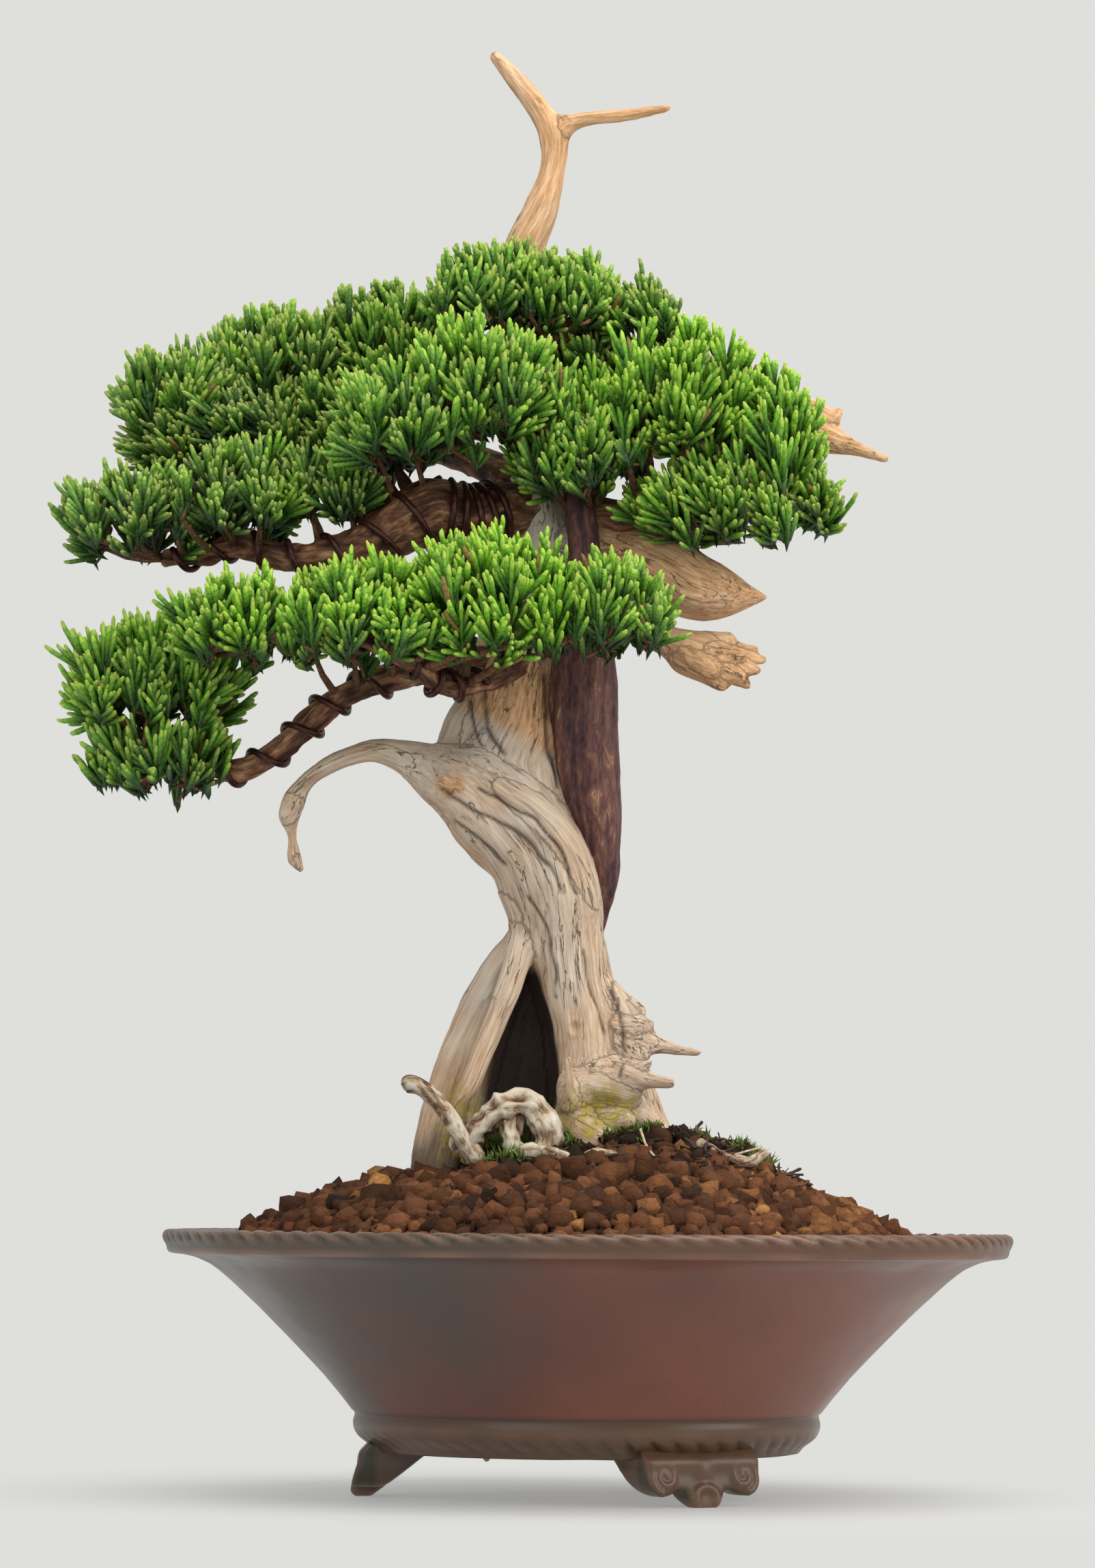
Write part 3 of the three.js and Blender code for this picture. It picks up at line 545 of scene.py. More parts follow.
def lump_shape():
    """A cube of 26 points and 24 quads, its corners and edges drawn towards a ball."""
    spots = np.array([spot for spot in np.ndindex(3, 3, 3) if spot != (1, 1, 1)]) - 1
    number = {tuple(spot): i for i, spot in enumerate(spots)}
    faces = []
    for axis in range(3):
        for way in (-1, 1):
            for b, c in np.ndindex(2, 2):
                corners = [(b - 1, c - 1), (b, c - 1), (b, c), (b - 1, c)][::way]
                for_axis = [np.roll((way, *corner), axis) for corner in corners]
                faces.append([number[tuple(spot)] for spot in for_axis])
    return spots / np.linalg.norm(spots, axis=1, keepdims=True) ** 0.5, np.array(faces)


def scattered(name, spots, sizes, tones, material, random):
    """Lumps at the spots, each turned, stretched and chipped at random."""
    shape, quads = lump_shape()
    bodies = shape * random.uniform(0.72, 1.18, (len(spots), 1, 3))
    bodies = bodies * (1 + random.normal(0, 0.15, (len(spots), len(shape), 1)))
    bodies = np.einsum("nij,nkj->nki", turns(len(spots), random), bodies) * sizes[:, None, None]
    bodies = bodies + spots[:, None, :]
    faces = (quads[None] + len(shape) * np.arange(len(spots))[:, None, None]).reshape(-1, 4)
    made = piece(name, bodies, faces, material)
    mark(made, "tone", np.repeat(tones, len(shape)))
    return made


random = np.random.default_rng(7)
radii = np.linspace(0, SOIL_EDGE + 2.4, 40)
turn = np.linspace(0, 2 * np.pi, 96, endpoint=False)
x, y = radii[:, None] * np.cos(turn), radii[:, None] * np.sin(turn)
top = np.stack([x, y, soil_height(x, y) - 1.6], -1)
wall = np.array([(78.8, 50.4), (69.8, 43.4), (62, 36.8), (54.8, 28.2), (48.4, 21.6), (0, 21.6)])
under = np.stack([wall[:, :1] * np.cos(turn), wall[:, :1] * np.sin(turn), wall[:, 1:] + 0 * turn], -1)
heap = np.concatenate([top, under])
DARK_SOIL = clay("dark_soil", [(0.2, "#2a1b14"), (0.8, "#4a3022")])
bed = piece("soil_bed", heap, grid_faces(*heap.shape[:2], False, True)[:, ::-1], DARK_SOIL)
mark(bed, "tone", noise(heap / 4, 5) * 0.5 + 0.5)
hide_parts("soil")

AKADAMA = clay("akadama_clay", [(0.0, "#2a1b12"), (0.22, "#4a2d1b"), (0.5, "#694229"),
                                (0.74, "#835335"), (0.88, "#a47042"), (0.97, "#cf9755")])
for layer, (drop, size) in {"low": (1.9, 1.05), "high": (0.2, 1.0)}.items():
    order = np.arange(LUMPS) + 0.5
    radius = (SOIL_EDGE + 1.2) * np.sqrt(order / LUMPS)
    angle = order * GOLDEN_TURN + (layer == "low")
    x = radius * np.cos(angle) + random.normal(0, 0.7, len(order))
    y = radius * np.sin(angle) + random.normal(0, 0.7, len(order))
    away = np.hypot(x + 2, y - 2)
    kept = (away > LUMP_FREE) & (np.hypot(x, y) < SOIL_EDGE - 2.5)
    x, y, away = x[kept], y[kept], away[kept]
    sizes = LUMP_SIZE * size * random.lognormal(0, 0.2, len(x))
    finer = np.clip((away - LUMP_FREE) / 16, 0, 1)
    edge = np.clip((np.hypot(x, y) - 62) / 18, 0, 1)
    sizes = sizes * (0.6 + 0.4 * finer) * (1 - 0.3 * edge)
    height = soil_height(x, y) - drop - 1.8 * edge + random.normal(0, 0.55, len(x))
    wall_top = np.interp(np.hypot(x, y), [70, 79.4, 86.2], [44.4, 51.8, 56.2])
    height = np.maximum(height, wall_top + 1.05 * sizes)
    # Lumps are darker near the trunk; the rise towards +X is painted light from the right-hand lamp, and the
    # lower layer's darker tone is painted shade in the gaps between the upper lumps.
    tones = random.normal(0.48, 0.2, len(x)) - 0.3 * (1 - finer) + 0.16 * np.clip(x / 60, 0, 1)
    tones = np.clip(tones - 0.16 * (layer == "low"), 0.02, 0.82)
    pale = random.random(len(x)) < 0.012 + 0.05 * np.clip((np.hypot(x, y) - 66) / 20, 0, 1)
    tones = np.where(pale, random.uniform(0.86, 1, len(x)), tones)
    spots = np.stack([x, y, height], 1)
    lumps = scattered(f"soil_lumps_{layer}", spots, sizes, tones, AKADAMA, random)
    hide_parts("soil")


# ---------------------------------------------------------------- deadwood
# The tree's dead heartwood, stripped of bark, weathered and bleached with lime sulphur: one twisted
# trunk with buttress roots, hooked and forked dead branches and broken stubs, all grain and cracks.

WOOD_CELL, LIMB_STEP = 0.62, 0.6
LIMBS = {  # x, y, z and radius along each limb
    "trunk": [
        (3.8, 2, 66, 15), (3, 2, 79, 13), (2, 1, 89, 11), (0, 0, 101, 10), (-3.2, 0, 113, 9.3),
        (-5.6, 0, 124, 9.7), (-8, -1, 134, 10.9), (-13, -2.4, 144, 11.6), (-20, -3, 151, 11.6),
        (-27, -3.6, 156.8, 10), (-34.4, -3.8, 160.4, 6.7), (-40.6, -4.4, 163.8, 4.3),
        (-48, -6, 165.6, 2.9), (-54.9, -8, 163.8, 2.5), (-61, -9, 160.4, 2.3), (-65, -10, 156.3, 2.3),
        (-66.8, -10, 151.5, 1.9), (-66.2, -10, 144.6, 1.2), (-65.9, -10, 139.4, 1.1)],
    "upper_trunk": [
        (-5, 5, 132, 7.5), (-9, 5.6, 143, 10.4), (-15, 6, 153, 12.8), (-19.4, 6, 163, 14.6),
        (-17.6, 6, 173, 13.4), (-17.2, 6, 183, 11.4), (-15.4, 6.6, 195, 9.7), (-11.6, 8, 209, 7.5),
        (-11.8, 9, 223, 6.2), (-13.7, 9, 238, 5), (-16.5, 8, 252, 4.4), (-18.2, 8, 266, 4.3),
        (-16.2, 6, 280, 4.8), (-12.2, 6, 289, 4.2), (-9.8, 6, 298, 3.1), (-9.3, 6, 305, 3.2),
        (-12.6, 6, 312.4, 3), (-18.4, 6, 319.6, 2.2), (-23.2, 6, 325, 1.3)],
    "shoulder_web": [(-22, 4, 180, 5), (-27.6, 2, 172, 5.4), (-30.6, 0, 165, 5.2)],
    "roll": [(-29, -6, 160.8, 2.4), (-20, -11, 156, 3.2), (-12, -12, 151, 3.6),
             (-5.8, -10, 144, 3.8), (-2, -7, 135, 3.4), (-1, -3.4, 125, 2.4), (-1, -1, 114, 1.5)],
    "waist_bulge": [(-15.5, -2, 140, 5), (-14.6, -3, 133, 5.4), (-11.6, -3, 126.5, 4)],
    "apex_right": [(-9.4, 6, 305, 2.2), (-6.7, 5.5, 308.6, 2.5), (-1.9, 4, 310, 1.9),
                   (7, 2, 310.6, 1.6), (16.2, 0, 312, 1.2)],
    "left_jin_fork": [(-66, -10, 142, 1.1), (-64.4, -10.4, 138.6, 0.9)],
    "left_jin_eye": [(-66.2, -10.5, 153.6, 2.4), (-67.4, -11, 150.8, 2)],
    "buttress_left": [
        (-9.2, 1, 133, 5.4), (-14.4, 2, 124.5, 4.4), (-20.5, 4, 116, 4.6), (-25.7, 6, 106, 4.9),
        (-29.1, 7, 95.6, 5.4), (-32.2, 8, 83, 6), (-33.6, 8, 67, 7.4)],
    "buttress_plate": [(-18, 6, 112, 4), (-22, 8, 98, 5), (-24.5, 9, 84, 6), (-25, 10, 68, 7)],
    "hollow_back": [(-9, 6, 116, 5), (-12, 8, 100, 7.5), (-13, 9, 84, 10), (-13, 9, 67, 12)],
    "buttress_strand": [
        (-10, 0, 142, 1.6), (-13.2, -1.6, 132, 2.9), (-15.4, -4.6, 123.6, 3.1), (-16.8, -7.4, 116.6, 3),
        (-19.2, -9.2, 109.4, 2.8), (-23.3, -10.6, 99, 2.6), (-26.2, -11, 91.6, 2.3),
        (-29.4, -10.4, 85, 2.1), (-31.6, -8, 71, 3)],
    "buttress_back": [(-5.2, 6, 119, 7), (-13.2, 13, 99, 7), (-18.2, 17, 81, 7.5), (-20.2, 18, 67, 8)],
    "buttress_right": [(4.8, 2, 97, 6.5), (11, 1, 86, 5.5), (17, 0, 76, 5), (22, 0, 67, 5)],
    "stub_upper": [(-10.2, 7, 213, 5), (2.5, 6, 212.5, 5.3), (13.1, 4, 208.8, 7.8),
                   (23.7, 2, 203.4, 7.6), (32.4, 0, 201.5, 4), (39.1, -2, 201, 0.8)],
    "stub_lower": [(-13.2, 6, 198, 5), (7.9, 6, 194.6, 3.6), (18.5, 4, 191, 3.6), (25, 2, 188.6, 4.2)],
    "stub_far": [(-11.2, 9, 227, 3), (-2.9, 12, 231, 1.8), (25.7, 22, 239.6, 2), (45.4, 26, 243.4, 3.2),
                 (53, 26, 240.6, 3.6), (60.4, 26, 238.2, 2), (67.2, 26, 235.8, 1.1)],
    "far_crest": [(46, 26, 244, 3), (49.5, 25, 247.6, 2), (54.5, 26, 245.4, 2), (57, 26, 247, 0.8)],
    "snag_top": [(0.4, -2, 106, 5), (5.6, -4, 108.4, 3.2), (9.4, -5, 108.8, 1.7), (12.6, -5.6, 108.4, 0.6)],
    "snag_ridge": [(5, -3, 112, 2.4), (8.6, -5, 106.4, 2.8), (9.6, -6, 100, 2.6), (9, -5, 92, 3)],
    "snag_knob": [(6, -6, 104.6, 2.6), (10.8, -7.6, 104.6, 1.8), (13.8, -8, 105.2, 0.8)],
    "snag_notch": [(7, -7, 100.6, 2.4), (12.6, -9, 97.4, 0.8)],
    "snag_long": [(2.8, -4, 101, 4.6), (10.8, -6, 101.4, 2.9), (15.5, -7, 100.4, 2), (20, -7.6, 99.2, 1.3),
                  (24, -8, 98.7, 1.2)],
    "snag_low": [(0.8, -6, 93, 5), (7.8, -12, 93.8, 2.6), (12, -13, 92.4, 1.9), (17.8, -14, 91.8, 1.6)],
    "snag_low_tip": [(8, -12, 94.5, 1.6), (13.5, -14, 96.4, 0.8)],
    "spike": [(-2.2, -4, 83, 6), (-3.8, -13, 88, 1.6), (-4.8, -14.5, 97, 1)],
    "shelf": [(-3, -8, 90.5, 4.5), (3, -11.5, 90.6, 3), (9, -11, 89.6, 2.6)],
    "foot_knob": [(-2, -10, 82, 5), (0.5, -14, 79, 3)],
    "foot_block": [(-1, -14, 80.6, 3.2), (2.4, -15.4, 78.8, 3)],
    "foot_cut": [(4, -10, 83, 3.4), (8.6, -14.4, 83.4, 1.9)],
    "foot_right": [(9, -7, 86, 3.6), (14.6, -9.6, 82.4, 2.2), (18.6, -10, 79, 1.6)],
}
SPLINTERS = [  # ends of the broken lower stub's fibres
    (29, -2.2, 181, 1.5), (33.5, -3.6, 182.4, 1.2), (37, -1.5, 184.6, 1.2), (38.8, 1.4, 187.2, 1),
    (36.6, 3.6, 189.8, 1.1), (33.5, -3.4, 188, 1.1), (31, 2, 192.2, 1.3), (27, -3.4, 184.6, 1.5),
    (35, 1, 181.4, 1.1), (31.6, 5, 185, 1.3)]
for i, tip in enumerate(SPLINTERS):
    LIMBS[f"splinter_{i}"] = [(21 + i % 3, 2 + 0.35 * tip[1], 188.6 + 0.3 * (tip[2] - 187), 2.4), tip]
KNOTS = [  # centre, ring radius and height of a raised ring round a sunken knot
    ((-66.5, -12, 153), 1.1, 0.5), ((-12.4, 3, 314), 1.3, 0.5), ((12, -3, 213), 1.6, 0.5),
    ((20, -5, 209), 1.4, 0.45), ((27, -6, 204), 1.3, 0.4), ((23, -5.5, 199), 1.5, 0.45),
    ((16, -3, 202.5), 1.3, 0.4), ((-31, -12, 157.4), 2.4, 0.5), ((-24, -12, 149), 1.2, 0.3),
    ((-3.4, -9.6, 104), 1.7, 0.4), ((-4.8, -9.6, 114), 0.9, 0.3), ((-11, -11, 139), 1.5, 0.3)]
CRACKS = [  # x and z along long drying cracks in the front of the trunk, then their half width
    ([(-32.6, 157), (-27.4, 152.6), (-21, 149.6), (-14.6, 145.6), (-9.4, 139.6), (-6.6, 134)], 0.36),
    ([(-25, 157), (-18.6, 153.4), (-12.4, 149.4), (-6.4, 142.6), (-3, 134)], 0.3),
    ([(-30.6, 149.4), (-24.6, 145.4), (-19.4, 140)], 0.24),
    ([(-13.6, 133), (-9.6, 126), (-7.6, 118), (-7.2, 111)], 0.28),
    ([(-1.4, 121), (0.6, 112), (3.4, 103)], 0.26),
    ([(4.6, 113), (7, 107), (7.6, 99), (6.6, 93)], 0.34),
    ([(-25.4, 186), (-23.6, 178), (-23, 171), (-19.6, 165)], 0.4),
    ([(-27.6, 177), (-26, 171), (-24, 167)], 0.3),
    ([(-9.6, 183), (-9.4, 174), (-9, 166), (-7.6, 158)], 0.5)]


def course(stations, spacing=0.6, spin=0.0):
    """Even steps along a smooth curve through the stations: centres, radii, distances and a frame of
    two crosswise directions and the heading, carried along without twist and then spun."""
    marks = np.array(stations, float)
    slopes = np.gradient(marks, axis=0)
    fine = np.linspace(0, len(marks) - 1, 40 * len(marks))
    first = np.minimum(fine.astype(int), len(marks) - 2)
    t = (fine - first)[:, None]
    curve = ((2 * t ** 3 - 3 * t ** 2 + 1) * marks[first] + (t ** 3 - 2 * t ** 2 + t) * slopes[first]
             + (3 * t ** 2 - 2 * t ** 3) * marks[first + 1] + (t ** 3 - t ** 2) * slopes[first + 1])
    gone = np.concatenate([[0], np.cumsum(np.linalg.norm(np.diff(curve[:, :3], axis=0), axis=1))])
    steps = np.linspace(0, gone[-1], max(int(gone[-1] / spacing), 4))
    curve = np.stack([np.interp(steps, gone, curve[:, i]) for i in range(4)], 1)
    heading = np.gradient(curve[:, :3], axis=0)
    heading /= np.linalg.norm(heading, axis=1, keepdims=True)
    side = np.array([1.0, 0, 0]) if abs(heading[0, 0]) < 0.8 else np.array([0, 0, 1.0])
    sides = []
    for ahead in heading:
        side = side - ahead * (side @ ahead)
        side = side / np.linalg.norm(side)
        sides.append(side)
    sides = np.array(sides)
    fronts = np.cross(heading, sides)
    angle = (steps * spin)[:, None]
    across = np.stack([sides * np.cos(angle) + fronts * np.sin(angle),
                       fronts * np.cos(angle) - sides * np.sin(angle), heading], 1)
    return curve[:, :3], curve[:, 3], steps, across


def limb_coordinates(points, path):
    """For each point: its place across and along the nearest step of a limb, its depth inside, and the
    limb's radius there."""
    centres, radii, steps, across = path
    nearest = np.empty(len(points), int)
    for part in np.array_split(np.arange(len(points)), max(len(points) // 20000, 1)):
        gaps = ((points[part, None, :] - centres[None]) ** 2).sum(-1)
        nearest[part] = gaps.argmin(1)
    offset = points - centres[nearest]
    local = np.einsum("nij,nj->ni", across[nearest], offset)
    depth = radii[nearest] - np.linalg.norm(offset, axis=1)
    local[:, 2] += steps[nearest]
    return local, depth, radii[nearest]


def settled(points, faces, rounds):
    """The mesh's points drawn towards the mean of their neighbours, a few times."""
    first, last = faces.ravel(), np.roll(faces, -1, 1).ravel()
    for _ in range(rounds):
        total, hits = np.zeros_like(points), np.zeros(len(points))
        for here, there in ((first, last), (last, first)):
            for i in range(3):
                total[:, i] += np.bincount(here, points[there, i], len(points))
            hits += np.bincount(here, minlength=len(points))
        points = points * 0.4 + 0.6 * total / hits[:, None]
    return points


def normals_of(points, faces):
    """Unit normals at the points, from the faces' diagonals."""
    crossed = np.cross(points[faces[:, 2]] - points[faces[:, 0]], points[faces[:, 3]] - points[faces[:, 1]])
    total = np.zeros_like(points)
    for corner in range(4):
        for i in range(3):
            total[:, i] += np.bincount(faces[:, corner], crossed[:, i], len(points))
    return total / np.maximum(np.linalg.norm(total, axis=1, keepdims=True), 1e-12)


def bleached_wood():
    """Old juniper heartwood, bleached: silver grey over tan, dark grain along the limb, brown in the cracks,
    yellow-green lichen in crusts of 2 mm near the soil, dry and matt, with painted highlight where the wood
    stands out and painted shade in the grain's grooves and the dark cavity behind the strand. Grain
    coordinates are in millimetres. Real fibres are finer than a render shows, so they are drawn 0.8 mm
    apart."""
    material, tree, shader = shader_of("bleached_juniper", Roughness=0.78, Specular_IOR_Level=0.3)
    grain = node(tree, "ShaderNodeAttribute", attribute_name="grain").outputs["Vector"]
    warm = node(tree, "ShaderNodeAttribute", attribute_name="warm").outputs["Fac"]
    deep = node(tree, "ShaderNodeAttribute", attribute_name="deep").outputs["Fac"]
    lichen = node(tree, "ShaderNodeAttribute", attribute_name="lichen").outputs["Fac"]
    high = node(tree, "ShaderNodeAttribute", attribute_name="high").outputs["Fac"]
    drawn = node(tree, "ShaderNodeMapping", {"Vector": grain, "Scale": (1.0, 1.0, 0.07)})
    fibres = node(tree, "ShaderNodeTexNoise", {"Vector": drawn.outputs["Vector"], "Scale": 1 / 0.769,
                                               "Detail": 8.0, "Roughness": 0.68})
    grey = node(tree, "ShaderNodeValToRGB", {"Fac": fibres.outputs["Fac"]},
                stops=[(0.25, "#94806f"), (0.42, "#bea993"), (0.55, "#d5c4b1"), (0.72, "#eadfd1")])
    tan = node(tree, "ShaderNodeValToRGB", {"Fac": fibres.outputs["Fac"]},
               stops=[(0.25, "#936a45"), (0.42, "#c8976a"), (0.56, "#e4b88c"), (0.72, "#f5dab8")])
    wood = node(tree, "ShaderNodeMix", {"Factor": warm, "A": grey.outputs["Color"],
                                        "B": tan.outputs["Color"]}, data_type="RGBA")
    # Painted highlight: the grey wood is mixed towards pale where it stands out.
    wood = node(tree, "ShaderNodeMix", {"Factor": high, "A": wood.outputs[2],
                                        "B": linear("#e4dccd")}, data_type="RGBA")
    crack = node(tree, "ShaderNodeMapping", {"Vector": grain, "Scale": (1.0, 1.0, 0.09)})
    lines = node(tree, "ShaderNodeTexNoise", {"Vector": crack.outputs["Vector"], "Scale": 1 / 2.38,
                                              "Detail": 5.0, "Roughness": 0.55, "Distortion": 0.5})
    centre = node(tree, "ShaderNodeMath", {0: lines.outputs["Fac"], 1: 0.5}, operation="SUBTRACT")
    width = node(tree, "ShaderNodeMath", {0: centre.outputs["Value"]}, operation="ABSOLUTE")
    thin = node(tree, "ShaderNodeMapRange", {"Value": width.outputs["Value"], "From Min": 0.0,
                                             "From Max": 0.016, "To Min": 0.85, "To Max": 0.0})
    region = node(tree, "ShaderNodeTexNoise", {"Vector": crack.outputs["Vector"], "Scale": 1 / 6.25,
                                               "Detail": 2.0})
    open_ = node(tree, "ShaderNodeMapRange", {"Value": region.outputs["Fac"], "From Min": 0.46,
                                              "From Max": 0.56})
    split = node(tree, "ShaderNodeMath", {0: thin.outputs["Result"], 1: open_.outputs["Result"]},
                 operation="MULTIPLY")
    # deep darkens to brown-black: the real cracks and soil stain, plus painted shade in the grain's grooves
    # and the cavity behind the strand.
    dark = node(tree, "ShaderNodeMath", {0: split.outputs["Value"], 1: deep}, operation="MAXIMUM")
    cracks_and_shade = node(tree, "ShaderNodeMix", {"Factor": dark.outputs["Value"], "A": wood.outputs[2],
                                           "B": linear("#2a1d16")}, data_type="RGBA")
    place = node(tree, "ShaderNodeTexCoord").outputs["Object"]
    crust = node(tree, "ShaderNodeTexNoise", {"Vector": place, "Scale": 1000 / 2.38, "Detail": 6.0,
                                              "Roughness": 0.7})
    spots = node(tree, "ShaderNodeMapRange", {"Value": crust.outputs["Fac"], "From Min": 0.4,
                                              "From Max": 0.54, "To Min": 0.25, "To Max": 0.95})
    spotted = node(tree, "ShaderNodeMath", {0: spots.outputs["Result"], 1: lichen},
                   operation="MULTIPLY")
    growth = node(tree, "ShaderNodeValToRGB", {"Fac": crust.outputs["Fac"]},
                  stops=[(0.38, "#55501f"), (0.5, "#9b8a2a"), (0.62, "#c6b34e")])
    mossy = node(tree, "ShaderNodeMix", {"Factor": spotted.outputs["Value"], "A": cracks_and_shade.outputs[2],
                                         "B": growth.outputs["Color"]}, data_type="RGBA")
    tree.links.new(mossy.outputs[2], shader.inputs["Base Color"])
    sunk = node(tree, "ShaderNodeMath", {0: fibres.outputs["Fac"], 1: split.outputs["Value"]},
                operation="SUBTRACT")
    bump = node(tree, "ShaderNodeBump", {"Height": sunk.outputs["Value"], "Strength": 0.8,
                                         "Distance": 0.0008})
    tree.links.new(bump.outputs["Normal"], shader.inputs["Normal"])
    return material


low = np.array([-71.0, -32, 64])
size = (np.array([144, 66, 265]) / WOOD_CELL).astype(int)
total = np.zeros(size, np.float32)
paths = {name: course(stations, LIMB_STEP, 0.012) for name, stations in LIMBS.items()}
for centres, radii, *_ in paths.values():
    start = np.maximum(((centres - radii[:, None] - 3 - low).min(0) / WOOD_CELL).astype(int), 0)
    stop = np.minimum(((centres + radii[:, None] + 3 - low).max(0) / WOOD_CELL).astype(int), size)
    limb = np.full(stop - start, -6, np.float32)
    stride = max(int(radii.mean() * 0.25 / LIMB_STEP), 1)
    for centre, radius in zip(centres[::stride], radii[::stride]):
        first = np.clip(((centre - radius - 3 - low) / WOOD_CELL).astype(int), start, stop)
        last = np.clip(((centre + radius + 3 - low) / WOOD_CELL).astype(int) + 1, start, stop)
        axes = [low[i] + WOOD_CELL * np.arange(first[i], last[i]) - centre[i] for i in range(3)]
        away = np.sqrt(axes[0][:, None, None] ** 2 + axes[1][None, :, None] ** 2
                       + axes[2][None, None, :] ** 2)
        box = tuple(slice(a - s, b - s) for a, b, s in zip(first, last, start))
        limb[box] = np.maximum(limb[box], radius - away)
    box = tuple(slice(a, b) for a, b in zip(start, stop))
    soft = np.clip(radii.mean() * 0.3, 0.5, 1.3)
    total[box] += np.exp(limb / soft) ** soft
field = np.log(np.maximum(total, 1e-4))
points, faces = skin(field, low, WOOD_CELL)
points = settled(points, faces, 5)
facing = normals_of(points, faces)

# Every limb weighs in near its own surface, so that the grain of one runs over into the next.
weights, flutes, ridges, fibre = (np.zeros(len(points)) for _ in range(4))
grain, strongest = np.zeros((len(points), 3)), np.full(len(points), -np.inf)
stout = np.zeros(len(points))
for index, path in enumerate(paths.values()):
    reach = (points > path[0].min(0) - path[1].max() - 4).all(1)
    reach &= (points < path[0].max(0) + path[1].max() + 4).all(1)
    near = np.flatnonzero(reach)
    local, depth, thick = limb_coordinates(points[near], path)
    weight = np.exp(np.clip(depth, -12, 2) / 1.2)
    coarse = np.clip(path[1].mean() / 7, 0.35, 1)
    weights[near] += weight
    flutes[near] += weight * coarse * noise(local / np.array([6.5, 6.5, 34]) / coarse + index, 21)
    ridge = 1 - 2 * np.abs(noise(local / np.array([3.1, 3.1, 26]) / coarse + index, 22))
    ridges[near] += weight * coarse * ridge
    fibre[near] += weight * (1 - 2 * np.abs(noise(local / np.array([1.3, 1.3, 15]) + index, 23)))
    wins = depth > strongest[near]
    strongest[near[wins]] = depth[wins]
    grain[near[wins]] = local[wins] + 31.7 * index
    stout[near[wins]] = thick[wins]
flutes, ridges, fibre = flutes / weights, ridges / weights, fibre / weights
lumpy = noise(points / 7.5, 24) * 0.55 + noise(points / 3.6, 25) * 0.25
push = 1.25 * flutes + 0.2 * ridges + 0.1 * fibre + 1.1 * lumpy * np.clip(weights, 0, 1)
rings = np.zeros(len(points))
for centre, radius, rise in KNOTS:
    away = np.linalg.norm(points - centre, axis=1)
    rings += rise * np.exp(-((away - radius) / 0.55) ** 2)
    rings -= 1.3 * rise * np.exp(-(away / radius / 0.6) ** 2)
flat, wander = points[:, ::2], 0.5 * noise(points / 4, 30)
split = np.zeros(len(points))
for line, half in CRACKS:
    line = np.array(line, float)
    for start, stop in zip(line[:-1], line[1:]):
        span = stop - start
        share = np.clip((flat - start) @ span / (span @ span), 0, 1)[:, None]
        gap = np.linalg.norm(flat - start - share * span + wander[:, None], axis=1)
        split = np.maximum(split, np.exp(-(gap / (half + 0.1)) ** 2))
split = split * (facing[:, 1] < 0.1)
rings -= 0.55 * split
scale = np.clip(stout / 8, 0.14, 1)
carved = points + facing * (np.where(push > 0, push, 1.15 * push) * scale + rings)[:, None]
carved = carved - facing * 0.4 * np.clip(scale, 0.2, 1)[:, None]
wood = piece("deadwood_body", carved, faces, bleached_wood())
mark(wood, "grain", grain)
x, y, z = points.T
upper = np.clip((z - 170) / 40, 0, 1) * np.clip((x + 2) / 6, 0, 1)
apex = np.clip((z - 262) / 12, 0, 1)
patchy = noise(points / 13, 26) * 0.5 + noise(points / 5, 27) * 0.25
warm = 0.3 + 0.45 * patchy + 0.75 * upper + 0.6 * apex + 0.2 * np.clip((116 - z) / 20, 0, 1)
tawny = np.exp(-((z - 172) / 16) ** 4) * (y < 8) * np.clip((x + 34) / 12, 0.2, 1)
tawny = tawny * np.clip((z - 163 - 0.5 * (x + 30)) / 4 + (x + 19) / 4, 0, 1)
tawny += 0.8 * np.exp(-(((x + 31) / 3.6) ** 2 + ((z - 157.4) / 2.6) ** 2) ** 2) * (y < 0)
silver = np.clip((z - 192) / 10, 0, 1) * np.clip((250 - z) / 8, 0, 1) * (x < -2)
warm = np.clip(warm + 0.85 * tawny - 0.6 * silver, 0, 1)
mark(wood, "warm", warm)
# Painted shade: near black in the cavity between the strand and the trunk, and darker in the grain's
# grooves; the cracks and the soil stain at the left base are real.
inner = np.exp(-((x + 14.4 - 0.16 * (z - 97)) / 9.2) ** 6) * np.clip((120 - z) / 5, 0, 1)
inner = inner * np.clip((y + 6.4) / 2, 0, 1) * np.clip(0.9 - 2.5 * facing[:, 1], 0, 1)
deep = np.clip(-1.1 * (ridges * 0.4 + fibre * 0.4) - 0.42, 0, 0.4)
deep = np.maximum(deep, np.clip(1.3 * inner - 0.1, 0, 1))
deep = np.maximum(deep, 0.85 * split)
stain = soil_height(x, y) + 15 + 4 * noise(points / 3.4, 34) - z
deep = np.maximum(deep, np.clip(stain / 12, 0, 0.72) * np.clip((-10 - x) / 5, 0, 1))
mark(wood, "deep", deep)
green = np.exp(-(((x - 2) / 9) ** 2 + ((y + 12) / 9) ** 2 + ((z - 85) / 7) ** 2))
green += 0.6 * np.exp(-(((x + 29) / 6) ** 2 + ((z - 82) / 12) ** 2)) * (y < 6)
crust = 1.6 * noise(points / 2.6, 28) + 0.8 * noise(points / 1.1, 29)
mark(wood, "lichen", np.clip(2.6 * green - 0.6 + 0.9 * crust * green, 0, 1))
# Painted highlight: paler on the grey wood where the surface stands out.
mark(wood, "high", np.clip(0.5 * push + 0.25, 0, 0.7) * (1 - warm))
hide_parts("deadwood")


# ---------------------------------------------------------------- live vein, roots and branches
# What is still alive: one strip of dark red-brown bark up the right of the trunk, knuckled surface
# roots, and flaky brown branches trained into pads. Bark grows over the wood and is never smooth.

